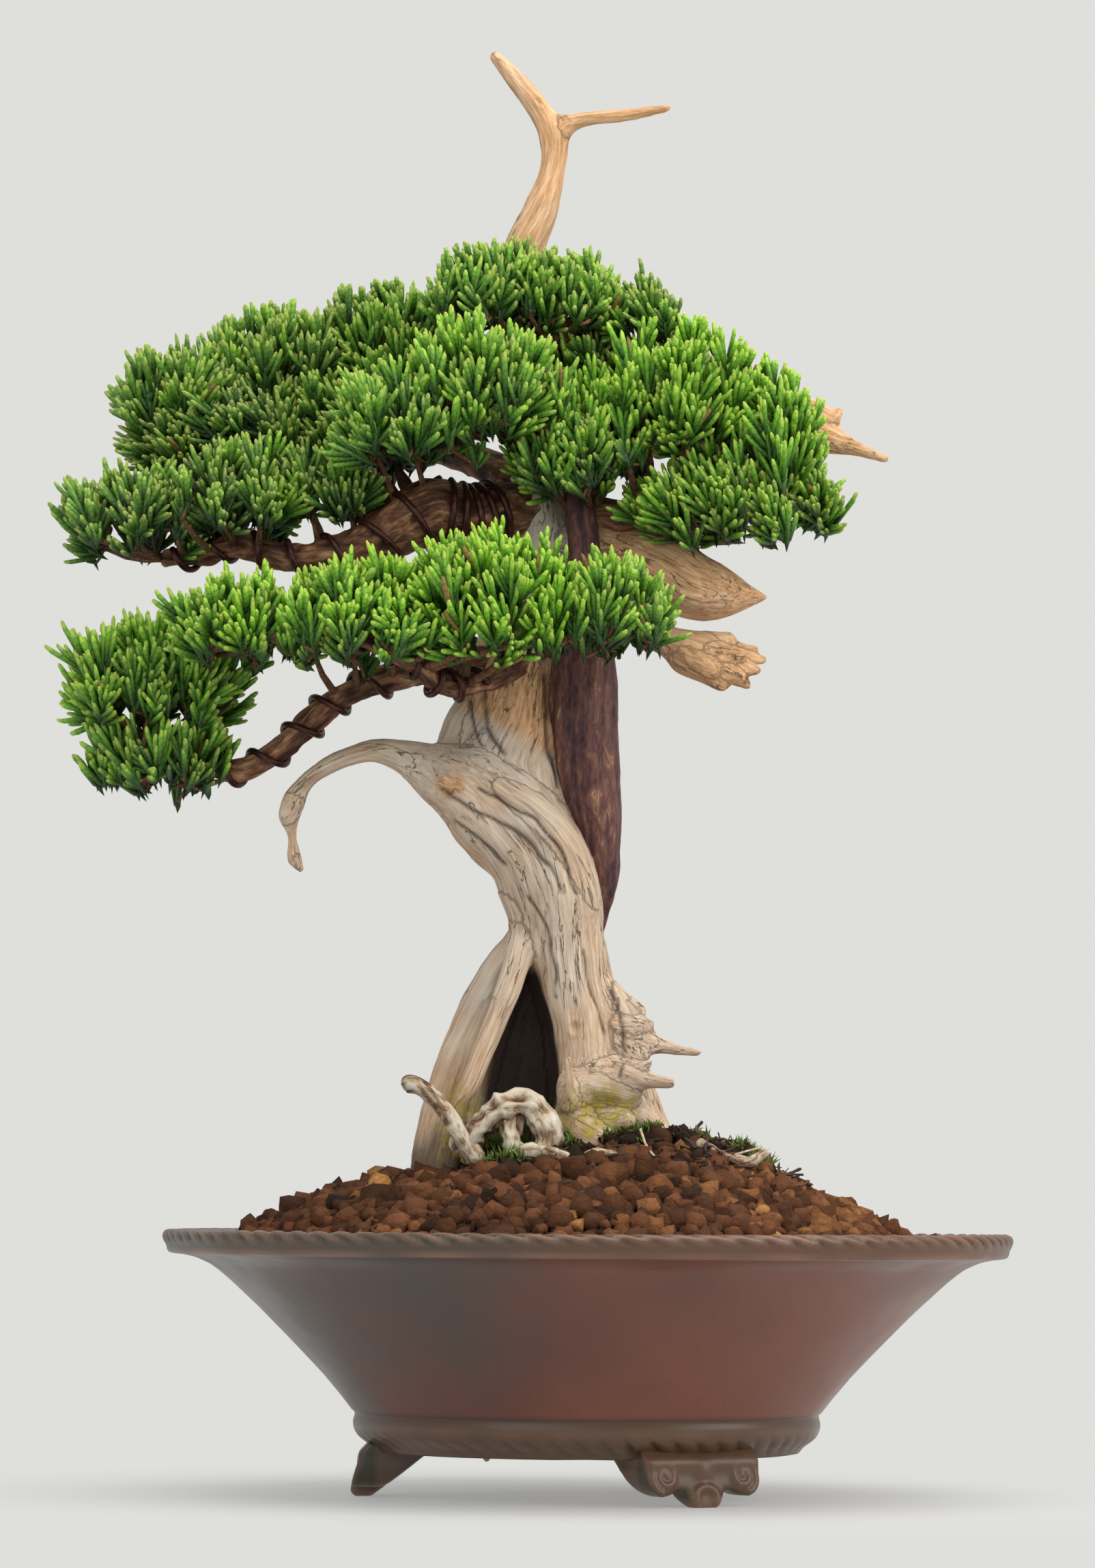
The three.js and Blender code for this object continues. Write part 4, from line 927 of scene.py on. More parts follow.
# Here too each station gives x, y, z and radius.
VEIN = [(1.4, 9, 123, 0.6), (1.9, 7.4, 131, 2.7), (1.8, 5, 139, 4.7), (0.8, 3, 149, 6.1),
        (-0.8, 1, 160, 7.1), (-1.8, -0.4, 171.7, 7.5), (-1.7, -0.8, 183, 7.3), (-2, -0.8, 192, 6),
        (-2, -0.8, 200, 4.2), (-1.8, -0.4, 210, 3.6), (-2.4, 0.5, 218, 3.4), (-4, 3, 228, 2.6)]
ROOTS = {
    "root_crossing": [
        (-41.6, -14, 91, 1.9), (-39.8, -14, 91.2, 2.1), (-36.4, -15, 90, 1.9), (-32.2, -17, 85.8, 1.8),
        (-28.2, -18.5, 79.8, 2), (-23.7, -19, 73.5, 2.2)],
    "root_loop": [
        (-28.4, -16, 75, 2.6), (-25.6, -17, 79.6, 2.9), (-21.6, -18, 84, 2.6), (-17.6, -18, 86, 2.9),
        (-13.4, -18, 86, 2.7), (-10.2, -18.5, 83.4, 2.6), (-8.8, -19, 78.6, 3), (-9.4, -19, 72, 2.8)],
    "root_inner": [(-16.8, -16, 86, 2), (-17.4, -18.5, 81, 2.1), (-16.6, -19, 75, 1.9)],
    "root_surface": [
        (-18.2, -24, 75, 1.0), (-13, -25, 76.6, 1.4), (-8, -25.6, 76.2, 1.1), (-3.2, -27, 74.2, 1.4),
        (2.6, -26.6, 76, 1.2), (6, -26, 74.8, 1.4), (8.3, -27, 70, 1.4)],
    "root_right": [(23.8, -16, 79, 1.0), (27, -17, 77, 1.3), (29.8, -17, 76, 0.9), (34.8, -18, 74.2, 1.3),
                   (37.4, -17.4, 75.6, 1.1), (39.8, -16, 76.8, 0.5)],
}
BRANCHES = {
    "branch_upper_left": [
        (-9, 11, 224, 3.4), (-15, 8, 221.5, 5.8), (-21, 5, 220, 6.8), (-28, 2, 218.6, 6.4),
        (-36, 0, 219.4, 7.4), (-44.2, -2, 216, 6.2), (-51, -3.4, 211.6, 5.2), (-57.2, -4, 210, 3.8),
        (-67.2, -5, 208.6, 2.8), (-79.7, -4, 211.5, 2.4), (-88, -2, 209.4, 2), (-97.2, 0, 209, 1.6)],
    "branch_lower_left": [
        (-13, 7, 188.6, 3), (-20, 3, 187.4, 3.8), (-31.2, -1, 185, 3.2), (-44.2, -3, 182.4, 3),
        (-55.2, -4, 178, 2.6), (-62.2, -4, 172.6, 2.9), (-69.2, -4, 166, 2.4), (-79.7, -4, 161, 2.3),
        (-95.2, -4, 165, 1.6)],
    "branch_lower_front": [
        (-14, 3, 187, 3), (-19, -8, 183.5, 2.8), (-24, -15, 180.5, 2.4), (-33.2, -24, 179, 2.3),
        (-39.2, -31, 183, 2), (-53.2, -32, 189, 1.8), (-71.2, -28, 189, 1.2)],
    "branch_lower_right": [(-3.2, -2, 199, 3), (-4.2, -14, 199, 2.2), (0.8, -24, 199, 1.8),
                           (10.8, -27, 197, 1.2)],
    "branch_middle": [(-12.2, 6, 235, 3.4), (-19.2, -4, 238, 2.4), (-28.2, -16, 242, 2),
                      (-39.2, -22, 241, 1.2)],
    "branch_upper_right": [(-4.2, 5, 219, 4.2), (2, 4.6, 220.6, 3.2), (7.8, 4.4, 219.4, 3.7),
                           (13, 4.4, 221.6, 2.8), (18.8, 4, 221.2, 3.2), (30.8, 3, 223, 2.2),
                           (42.8, 3, 226, 1.2)],
    "branch_back": [(-13.2, 12, 227, 4.4), (-29.2, 22, 235, 3.4), (-51.2, 27, 242, 2.8),
                    (-73.2, 26, 245, 2.2), (-91.2, 22, 244, 1.3)],
    "branch_apex": [(-15.2, 5, 253, 3.4), (-9.2, 2, 259, 2), (-3.2, 3, 264, 1.6), (4.8, 5, 265, 1)],
}


def bark(name, flake, stretch, contrast, stops):
    """Juniper bark: fibrous, drawn out along the limb, a dry skin with pale flakes as many millimetres
    wide as flake says, and darker reddish gaps where it has shed."""
    material, tree, shader = shader_of(name, Roughness=0.68, Specular_IOR_Level=0.35)
    grain = node(tree, "ShaderNodeAttribute", attribute_name="grain").outputs["Vector"]
    drawn = node(tree, "ShaderNodeMapping", {"Vector": grain, "Scale": (1.0, 1.0, stretch)})
    flakes = node(tree, "ShaderNodeTexNoise", {"Vector": drawn.outputs["Vector"], "Scale": 1 / flake,
                                               "Detail": 6.0, "Roughness": 0.68, "Distortion": 0.6})
    lift = node(tree, "ShaderNodeAttribute", attribute_name="lift")
    level = node(tree, "ShaderNodeMath", {0: lift.outputs["Fac"], 1: contrast,
                                          2: flakes.outputs["Fac"]}, operation="MULTIPLY_ADD")
    shade = node(tree, "ShaderNodeValToRGB", {"Fac": level.outputs["Value"]}, stops=stops)
    tree.links.new(shade.outputs["Color"], shader.inputs["Base Color"])
    bump = node(tree, "ShaderNodeBump", {"Height": flakes.outputs["Fac"], "Strength": 0.8,
                                         "Distance": 0.0006})
    tree.links.new(bump.outputs["Normal"], shader.inputs["Normal"])
    return material


def spokes(across, sides):
    """Directions round each step of a course, and their angles."""
    angle = np.linspace(0, 2 * np.pi, sides, endpoint=False)[None, :, None]
    return across[:, None, 0] * np.cos(angle) + across[:, None, 1] * np.sin(angle), angle


def limb_skin(name, path, material, sides, rough, seed, long, patch):
    """A closed skin round a limb: rings across it, pushed in and out by noise in patches drawn out
    along it, and drawn to a rounded point at both ends."""
    centres, radii, steps, across = path
    ray, angle = spokes(across, sides)
    to_end = np.minimum(steps, steps[-1] - steps)
    cap = np.sqrt(np.clip(1 - np.clip(1 - to_end / radii, 0, 1) ** 2, 0, 1))
    flat = np.stack([radii[:, None] * np.cos(angle[..., 0]), radii[:, None] * np.sin(angle[..., 0]),
                     steps[:, None] + 0 * angle[..., 0]], -1)
    push = noise(flat / np.array([patch, patch, long]) + seed, 31)
    push = push + 0.45 * noise(flat / np.array([1.1, 1.1, 2.6]) + seed, 32)
    push = push + 0.7 * (1 - 2 * np.abs(noise(flat / np.array([1.8, 1.8, long]) + seed, 33)))
    reach = (radii[:, None] + rough * push) * cap[:, None]
    body = centres[:, None] + ray * reach[..., None]
    made = piece(name, body, grid_faces(*reach.shape, False, True), material)
    mark(made, "grain", flat + 17.3 * seed)
    mark(made, "lift", np.clip(push, -1.5, 1.5))
    return made


VEIN_BARK = bark("juniper_vein_bark", 1.25, 0.3, 0.1,
                 [(0.28, "#22161a"), (0.42, "#472e31"), (0.54, "#64423e"), (0.68, "#7f5a4c"),
                  (0.84, "#d0a578")])
vein = limb_skin("live_vein_bark", course(VEIN, 0.45, 0.006), VEIN_BARK, sides=64, rough=0.42,
                 seed=1, long=22, patch=3.4)
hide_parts("live_vein")

ROOT_BARK = bark("weathered_root", 1.25, 0.4, 0.16,
                 [(0.25, "#35251f"), (0.42, "#6d4c3d"), (0.52, "#9c8468"), (0.62, "#c4b8a2"),
                  (0.8, "#d8d0c2")])
for seed, (name, stations) in enumerate(ROOTS.items()):
    knuckled = (0.07 if name == "root_crossing" else 0.38) * np.mean([station[3] for station in stations])
    root = limb_skin(f"{name}_skin", course(stations, 0.35), ROOT_BARK, sides=30,
                     rough=knuckled, seed=seed + 2, long=2.6, patch=2.2)
    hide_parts("root_loop" if name == "root_inner" else name)

BRANCH_BARK = bark("flaking_branch_bark", 1.0, 0.22, 0.13,
                   [(0.25, "#20130e"), (0.42, "#442a1f"), (0.55, "#704a33"), (0.68, "#9c7353"),
                    (0.82, "#c4a27f")])
branch_paths = {name: course(stations, 0.4) for name, stations in BRANCHES.items()}
for seed, (name, path) in enumerate(branch_paths.items()):
    branch = limb_skin(f"{name}_skin", path, BRANCH_BARK, sides=36,
                       rough=0.28 + 0.07 * path[1].mean(), seed=seed + 9, long=4, patch=1.9)
    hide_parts(name)


# ---------------------------------------------------------------- training wire
# Soft anodised aluminium wire, brown-black with a dull sheen, wound round the branches by hand to bend
# them into place; turns are uneven because the branch and the fingers are.

WIRES = {  # the branch, where along it the wire starts and stops, and its turns
    "wire_upper_left": ("branch_upper_left", 0.3, 0.97, 7),
    "wire_anchor": ("branch_upper_left", 0.14, 0.29, 5),
    "wire_lower_left": ("branch_lower_left", 0.34, 0.97, 6),
    "wire_lower_front": ("branch_lower_front", 0.3, 0.75, 5),
    "wire_upper_right": ("branch_upper_right", 0.58, 0.97, 4),
}
WIRE_RADIUS = 0.75


def round_wire(name, stations, material):
    """A round wire through the stations, closed to a point at both ends."""
    centres, _, steps, across = course(stations, 0.5)
    cut = np.where((steps == 0) | (steps == steps[-1]), 0.0, WIRE_RADIUS)
    body = centres[:, None] + spokes(across, 10)[0] * cut[:, None, None]
    return piece(name, body, grid_faces(*body.shape[:2], False, True), material)


# Drawn and dyed brown: the dye is rubbed thin in specks of a millimetre and a half.
anodised, tree, shader = shader_of("brown_anodised_aluminium", Metallic=0.55, Roughness=0.38)
place = node(tree, "ShaderNodeTexCoord").outputs["Object"]
rub = node(tree, "ShaderNodeTexNoise", {"Vector": place, "Scale": 1000 / 1.43, "Detail": 3.0})
worn_brown = node(tree, "ShaderNodeValToRGB", {"Fac": rub.outputs["Fac"]},
                   stops=[(0.3, "#2c1612"), (0.6, "#4b2620"), (0.8, "#6d4034")])
tree.links.new(worn_brown.outputs["Color"], shader.inputs["Base Color"])
for seed, (name, (branch, start, stop, wound)) in enumerate(WIRES.items()):
    centres, radii, steps, across = branch_paths[branch]
    share = np.linspace(start, stop, wound * 48)
    spot = share * (len(centres) - 1)
    at = spot.astype(int)
    wobble = noise(np.stack([share * wound * 1.3 + seed, 0 * share, 0 * share], -1), 41)
    angle = (2 * np.pi * ((share - start) / (stop - start) * wound + 0.16 * wobble))[:, None]
    reach = (radii[at] + WIRE_RADIUS + 0.2)[:, None]
    middle = np.stack([np.interp(spot, np.arange(len(centres)), centres[:, i]) for i in range(3)], 1)
    helix = middle + reach * (across[at, 0] * np.cos(angle) + across[at, 1] * np.sin(angle))
    stations = np.column_stack([helix[::3], np.full(len(helix[::3]), WIRE_RADIUS)])
    wire = round_wire(f"{name}_turns", stations, anodised)
    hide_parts("wire_upper_left" if name == "wire_anchor" else name)


# ---------------------------------------------------------------- foliage
# Shimpaku juniper: cord-like shoots a millimetre and a quarter thick, clad in tight scale leaves, in
# fans that rise from the twigs and end in rounded yellow-green tips. Each pad is clipped to a cloud.

# Each pad's brightness is partly its own green and partly painted light and shade: pads at the right and
# front, which the lamps light, are brighter, and those at the back left are darker.
PADS = {  # lobes as place and half sizes, then how bright the pad is
    "foliage_apex": ([(-23, 1, 271, 16, 14, 12), (-7, 2, 270, 14, 13, 12), (9, 4, 267, 11, 10, 9),
                       (-4, 8, 258, 12, 10, 9)], 0.46),
    "foliage_upper_left": ([(-91, 18, 248, 18, 18, 14), (-70, 24, 254, 22, 21, 17),
                            (-47, 22, 259, 20, 19, 16), (-74, 8, 241, 21, 13, 12),
                            (-52, 6, 240, 17, 12, 13), (-93, 10, 236, 15, 13, 9)], 0.31),
    "foliage_middle_left": ([(-101, -2, 219, 18, 15, 12), (-80, -5, 224, 19, 17, 13),
                             (-61, -4, 226, 14, 13, 10)], 0.36),
    "foliage_middle": ([(-40, -16, 240, 18, 16, 13), (-24, -14, 247, 18, 17, 17),
                        (-7, -9, 232, 13, 11, 10)], 0.62),
    "foliage_right": ([(20, 0, 247, 20, 21, 17), (2, 0, 239, 15, 17, 15), (36.5, 2, 234, 17, 18, 21),
                       (26, -6, 222, 20, 16, 11), (46, -2, 223, 11, 10, 7)], 0.7),
    "foliage_lower_left": ([(-98, -6, 182, 21, 19, 15), (-96, -7, 166, 17, 15, 13)], 0.6),
    "foliage_lower_middle": ([(-75, -26, 193, 18, 17, 12), (-50, -30, 194, 20, 18, 15),
                              (-25, -31, 197, 20, 18, 18)], 0.74),
    "foliage_lower_right": ([(3, -27, 196, 16, 16, 13)], 0.6),
}
SHOOT = [(0, 0), (0.2, 0.95), (0.8, 0.98), (0.95, 0.7), (1.0, 0.0)]  # share of length, of radius
SHOOT_RADIUS, SHOOT_SIDES = 0.63, 5
FAN, FAN_AREA = 9, 22.5  # shoots in a fan, and square millimetres of a pad's skin to each fan
COLUMNS = 64  # tones of shoot, each a column of the map


def scale_leaves():
    """Overlapping scale leaves: a waxy mid green, yellow-green at the growing tip, with painted shade that
    darkens each shoot's foot and turns the green darker and bluer inside the pad, and a fine dark line where
    each pair of scales overlaps the next, six to a shoot. A shoot's column mixes the green in painted shade
    with the green in painted light."""
    material, tree, shader = shader_of("juniper_scale_leaves", Roughness=0.48,
                                       Specular_IOR_Level=0.35)
    map_ = node(tree, "ShaderNodeUVMap", uv_map="OFBake").outputs["UV"]
    parts = node(tree, "ShaderNodeSeparateXYZ", {"Vector": map_})
    columns = node(tree, "ShaderNodeMath", {0: parts.outputs["X"], 1: COLUMNS}, operation="MULTIPLY")
    tone = node(tree, "ShaderNodeMath", {0: columns.outputs["Value"]}, operation="FLOOR")
    around = node(tree, "ShaderNodeMath", {0: columns.outputs["Value"]}, operation="FRACT")
    tone = node(tree, "ShaderNodeMath", {0: tone.outputs["Value"], 1: COLUMNS - 1.0},
                operation="DIVIDE")
    # Two ramps: the green in painted shade and the green in painted light, each near black at the shoot's
    # foot as painted shade.
    dull_and_shaded = node(tree, "ShaderNodeValToRGB", {"Fac": parts.outputs["Y"]},
                stops=[(0.0, "#1b231a"), (0.45, "#34502a"), (0.82, "#56763a"), (0.94, "#8c9a52"),
                       (1.0, "#b5b06a")])
    lush_and_lit = node(tree, "ShaderNodeValToRGB", {"Fac": parts.outputs["Y"]},
                stops=[(0.0, "#1e3012"), (0.35, "#3c6c1a"), (0.75, "#79b82b"), (0.93, "#a9d244"),
                       (1.0, "#d0da66")])
    green = node(tree, "ShaderNodeMix", {"Factor": tone.outputs["Value"], "A": dull_and_shaded.outputs["Color"],
                                         "B": lush_and_lit.outputs["Color"]}, data_type="RGBA")
    dead = node(tree, "ShaderNodeMath", {0: tone.outputs["Value"], 1: 0.02}, operation="LESS_THAN")
    leaf = node(tree, "ShaderNodeMix", {"Factor": dead.outputs["Value"], "A": green.outputs[2],
                                        "B": linear("#8a6e3c")}, data_type="RGBA")
    stagger = node(tree, "ShaderNodeMath", {0: around.outputs["Value"], 1: 4 * np.pi},
                   operation="MULTIPLY")
    side = node(tree, "ShaderNodeMath", {0: stagger.outputs["Value"]}, operation="SINE")
    rank = node(tree, "ShaderNodeMath", {0: side.outputs["Value"], 1: 1.2}, operation="MULTIPLY")
    climb = node(tree, "ShaderNodeMath", {0: parts.outputs["Y"], 1: 38.0, 2: rank.outputs["Value"]},
                 operation="MULTIPLY_ADD")
    scales = node(tree, "ShaderNodeMath", {0: climb.outputs["Value"]}, operation="SINE")
    gap = node(tree, "ShaderNodeMapRange", {"Value": scales.outputs["Value"], "From Min": -1.0,
                                            "From Max": -0.2, "To Min": 0.72, "To Max": 1.0})
    lined = node(tree, "ShaderNodeHueSaturation", {"Value": gap.outputs["Result"],
                                                   "Color": leaf.outputs[2]})
    tree.links.new(lined.outputs["Color"], shader.inputs["Base Color"])
    bump = node(tree, "ShaderNodeBump", {"Height": gap.outputs["Result"], "Strength": 0.6,
                                         "Distance": 0.0003})
    tree.links.new(bump.outputs["Normal"], shader.inputs["Normal"])
    return material


def unit(vectors):
    """The vectors scaled to a length of one."""
    return vectors / np.maximum(np.linalg.norm(vectors, axis=-1, keepdims=True), 1e-9)


def rods(base, ahead, bend, length, radius, profile, sides):
    """Tapered rods from base points: rings along the line base + length (ahead t + bend t squared),
    their radii from a profile of (t, share of radius), as an array of rod, ring, side and place."""
    share, wide = np.array(profile).T
    across = unit(np.cross(ahead, bend + np.array([0.013, 0.021, 0.034])))
    over = unit(np.cross(ahead, across))
    angle = np.linspace(0, 2 * np.pi, sides, endpoint=False)
    line = base[:, None] + length[:, None, None] * (ahead[:, None] * share[None, :, None]
                                                    + bend[:, None] * share[None, :, None] ** 2)
    ray = across[:, None] * np.cos(angle)[None, :, None] + over[:, None] * np.sin(angle)[None, :, None]
    return line[:, :, None] + ray[:, None] * (radius[:, None] * wide)[:, :, None, None]


def rods_piece(name, shape, material):
    """Many rods as one piece, each a grid of quads closed round its sides."""
    count, rings, sides = shape.shape[:3]
    one = grid_faces(rings, sides, False, True)
    faces = (one[None] + rings * sides * np.arange(count)[:, None, None]).reshape(-1, 4)
    return piece(name, shape, faces, material)


def fans(lobes, random):
    """Where the fans of a pad end, spread evenly over its lobes with a few deep inside, the node on a
    twig below that each of them rises from, and how far out each reaches."""
    tips, nodes, outs = [], [], []
    for i, (x, y, z, wide, deep, tall) in enumerate(lobes):
        middle, half = np.array([x, y, z], float), np.array([wide, deep, tall], float)
        count = int(4 * np.pi * (wide * deep * tall) ** (2 / 3) / FAN_AREA)
        up = 1 - 2 * (np.arange(count) + 0.5) / count
        turn = np.arange(count) * GOLDEN_TURN + i
        flat = np.sqrt(1 - up ** 2)
        ray = np.stack([flat * np.cos(turn), flat * np.sin(turn), up], 1)
        ray = unit(ray + random.normal(0, 0.1, ray.shape))
        depth = np.where(random.random(count) < 0.33, random.uniform(0.45, 0.85, count),
                         random.normal(0.97, 0.09, count))
        tip = middle + ray * half * depth[:, None]
        kept = ray[:, 2] > -0.74 + 0.5 * random.random(count)
        for j, (x2, y2, z2, *half2) in enumerate(lobes):
            if j != i:
                kept &= np.linalg.norm((tip - (x2, y2, z2)) / half2, axis=1) > 0.74
        away = 0.62 * (tip - middle)[:, :2]
        stepped = np.round(away / 8.5 + 0.31 * i) * 8.5 - 2.6 * i % 3
        shift = np.where(np.abs(stepped) > 0.8 * half[:2], away, stepped)
        tips.append(tip[kept])
        nodes.append(np.column_stack([middle[:2] + shift, np.full(count, z - 0.62 * tall)])[kept])
        outs.append(depth[kept])
    return np.concatenate(tips), np.concatenate(nodes), np.concatenate(outs)


LEAVES = scale_leaves()
random = np.random.default_rng(11)
twig_runs = {}
branch_spots = np.concatenate([path[0][::4] for path in branch_paths.values()])
for name, (lobes, brightness) in PADS.items():
    tips, nodes, out = fans(lobes, random)
    count = len(tips)
    ahead = unit(tips - nodes + np.array([0, 0, 3.0]) + random.normal(0, 2.0, (count, 3)))
    reach = np.clip(random.normal(14.5, 2.0, count), 8, 1.2 * np.linalg.norm(tips - nodes, axis=1))
    base = tips - ahead * reach[:, None]
    twig_runs[name] = (nodes, base + ahead * 2)
    flat = unit(np.cross(ahead, random.normal(0, 1, (count, 3))))
    order = np.arange(FAN)
    step = (order + 1.0) / FAN
    side = np.where(order % 2, 1, -1) * (order < FAN - 1)
    roll = random.normal(0, 0.6, (count, FAN, 1))
    leaning = flat[:, None] * np.cos(roll) + np.cross(ahead, flat)[:, None] * np.sin(roll)
    angle = (0.78 - 0.38 * step)[None, :, None] * (1 + random.normal(0, 0.18, (count, FAN, 1)))
    angle = angle * np.abs(side)[None, :, None]
    heading = ahead[:, None] * np.cos(angle) + leaning * side[None, :, None] * np.sin(angle)
    start = base[:, None] + ahead[:, None] * (reach[:, None] * (0.08 + 0.5 * step))[..., None]
    length = reach[:, None] * (0.68 - 0.22 * step) * (1 + random.normal(0, 0.15, (count, FAN)))
    start[:, -1] = base
    length[:, -1] = reach
    bend = (ahead[:, None] - heading) * 0.3 + random.normal(0, 0.05, (count, FAN, 3))
    radius = SHOOT_RADIUS * (1 + random.normal(0, 0.08, (count, FAN)))
    shape = rods(start.reshape(-1, 3), unit(heading).reshape(-1, 3), bend.reshape(-1, 3),
                 length.ravel(), radius.ravel(), SHOOT, SHOOT_SIDES)
    made = rods_piece(f"{name}_shoots", shape, LEAVES)
    # Painted light and shade: shoots higher in the pad are lighter, and fans that end deep inside are
    # darker.
    lift = (tips[:, 2] - tips[:, 2].mean()) / 34
    tone = brightness + 0.3 * lift + 0.16 * noise(nodes / 5, 51) + random.normal(0, 0.08, count)
    tone = tone + 0.04 - 0.3 * (out < 0.86)
    tone = tone[:, None] + random.normal(0, 0.07, (count, FAN))
    column = np.clip(tone * COLUMNS, 2, COLUMNS - 1).astype(int).ravel()
    column = np.where(random.random(len(column)) < 0.006, 0, column)
    rings, corner = np.arange(len(SHOOT) - 1), np.arange(SHOOT_SIDES)
    along = np.array([share for share, _ in SHOOT]) * 0.98 + 0.01
    u = np.stack([corner, corner + 1, corner + 1, corner], -1)[None] / SHOOT_SIDES + 0 * rings[:, None, None]
    v = np.stack([along[:-1], along[:-1], along[1:], along[1:]], -1)[:, None] + 0 * corner[:, None]
    u = (column[:, None, None, None] + 0.04 + 0.92 * u[None]) / COLUMNS
    v = v[None] + 0 * u
    sheet = made.data.uv_layers.new(name="OFBake")
    sheet.data.foreach_set("uv", np.stack([u, v], -1).astype(np.float32).ravel())
    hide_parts(name)

TWIG_BARK = bark("young_twig_bark", 0.714, 0.3, 0.0,
                 [(0.3, "#38261a"), (0.5, "#6b4a30"), (0.7, "#97724a")])
TWIG = [(0, 0), (0.01, 1.25), (0.3, 1.05), (0.65, 0.9), (0.99, 0.7), (1, 0)]
for name, (nodes, ends) in twig_runs.items():
    stems = np.unique(np.round(nodes, 1), axis=0)
    near = branch_spots[((stems[:, None] - branch_spots[None]) ** 2).sum(-1).argmin(1)]
    start, stop = np.concatenate([near, nodes]), np.concatenate([stems, ends])
    span = stop - start
    length = np.maximum(np.linalg.norm(span, axis=1), 0.5)
    sway = random.normal(0, 0.16, span.shape) - np.array([0, 0, 0.12])
    bend = -sway
    ahead = span / length[:, None] + sway
    stem = np.arange(len(span)) < len(stems)
    radius = np.where(stem, np.clip(0.55 + 0.02 * length, 0.6, 1.1), 0.42)
    shape = rods(start, ahead, bend, length, radius, TWIG, 6)
    twigs = rods_piece(f"{name}_twigs", shape, TWIG_BARK)
    mark(twigs, "grain", shape)
    mark(twigs, "lift", np.zeros(shape.size // 3))
    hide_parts(name)


# ---------------------------------------------------------------- moss and litter
# Round the foot of the trunk the clay gives way to old dark root soil with cushions of bright moss,
# shed bark, dry needles and fine pale rootlets that the watering has laid bare.

MOSS = {  # lobes as place and half sizes
    "moss_left": [(-14.2, -10, 76, 13, 7, 3.5), (-3.2, -13, 77, 9, 6, 3), (-15, -24, 73.6, 8, 4, 2.4)],
    "moss_right": [(8, -16, 79, 7, 4, 2.5), (15.8, -9, 79, 9, 8, 4), (26.8, -6, 75.5, 10, 8, 5),
                   (34.8, -4, 73, 6, 6, 4)],
}
MOSS_LEAF = [(0, 0), (0.02, 1), (0.5, 1), (1, 0)]


def litter(name, stops, rough):
    """Small plant matter, each piece one tone of a ramp, mottled in spots of 0.7 mm, damp to dry."""
    material, tree, shader = shader_of(name, Roughness=rough)
    place = node(tree, "ShaderNodeTexCoord").outputs["Object"]
    tone = node(tree, "ShaderNodeAttribute", attribute_name="tone")
    mottle = node(tree, "ShaderNodeTexNoise", {"Vector": place, "Scale": 1000 / 0.714, "Detail": 2.0})
    level = node(tree, "ShaderNodeMath", {0: mottle.outputs["Fac"], 1: 0.3, 2: tone.outputs["Fac"]},
                 operation="MULTIPLY_ADD")
    shade = node(tree, "ShaderNodeValToRGB", {"Fac": level.outputs["Value"]}, stops=stops)
    tree.links.new(shade.outputs["Color"], shader.inputs["Base Color"])
    return material


MOSS_GREEN = litter("cushion_moss", [(0.2, "#1a220d"), (0.5, "#334715"), (0.85, "#5d7522"),
                                     (1.0, "#8f983a")], 0.6)
LITTER = litter("root_litter", [(0.1, "#1d130e"), (0.45, "#463022"), (0.7, "#7a5a3e"),
                                (0.9, "#c0aa8a"), (1.0, "#e2d8c6")], 0.85)
for name, lobes in MOSS.items():
    spots = []
    for x, y, z, wide, deep, tall in lobes:
        count = int(wide * deep * 3.1)
        reach, turn = np.sqrt(random.random(count)), random.uniform(0, 2 * np.pi, count)
        place = np.stack([x + wide * reach * np.cos(turn), y + deep * reach * np.sin(turn)], 1)
        high = z + tall * np.sqrt(1 - reach ** 2) * 0.8
        ground = soil_height(*place.T) - 0.4
        spots.append(np.column_stack([place, np.maximum(high, ground)]))
    spots = np.concatenate(spots)
    crumbs = scattered(f"{name}_soil", spots[::2] - (0, 0, 0.9), random.uniform(0.6, 1.5, len(spots[::2])),
                       random.uniform(0, 0.4, len(spots[::2])), DARK_SOIL, random)
    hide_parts(name)
    green = noise(spots / 4.2, 61) > (-0.3 if name == "moss_left" else 0.1)
    roots = np.repeat(spots[green], 5, axis=0) + random.normal(0, 0.5, (5 * green.sum(), 3))
    roots[:, 2] -= 0.8
    ahead = unit(random.normal(0, 0.55, roots.shape) + (0, 0, 1.0))
    bend = random.normal(0, 0.2, roots.shape)
    length = random.uniform(1.5, 3.2, len(roots))
    radius = random.uniform(0.16, 0.3, len(roots))
    shape = rods(roots, ahead, bend, length, radius, MOSS_LEAF, 4)
    cushion = rods_piece(f"{name}_leaves", shape, MOSS_GREEN)
    leaf_tone = random.normal(0.42, 0.14, len(roots))
    ring_tone = np.array([0, 0.02, 0.12, 0.26])
    mark(cushion, "tone", np.repeat((leaf_tone[:, None] + ring_tone).ravel(), 4))
    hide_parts(name)

count = 430  # bits of litter round the trunk
turn = random.uniform(0, 2 * np.pi, count)
reach = random.uniform(0, 1, count) ** 0.7
spots = np.stack([4 + 40 * reach * np.cos(turn), -6 + 24 * reach * np.sin(turn)], 1)
right = random.random(count) < 0.35
spots[right] = np.stack([random.normal(32, 8, count), random.normal(-9, 8, count)], 1)[right]
lift = random.uniform(0.3, 2.4, count) + 1.6 * right
roots = np.column_stack([spots, soil_height(*spots.T) + lift - 0.6])
ahead = unit(random.normal(0, 1, roots.shape) * (1, 1, 0.35))
bend = random.normal(0, 0.35, roots.shape) * (1, 1, 0.5)
pale = random.random(count) < 0.05
length = np.where(pale, random.uniform(5, 12, count), random.uniform(1.5, 5.5, count))
radius = np.where(pale, random.uniform(0.18, 0.32, count), random.uniform(0.12, 0.5, count))
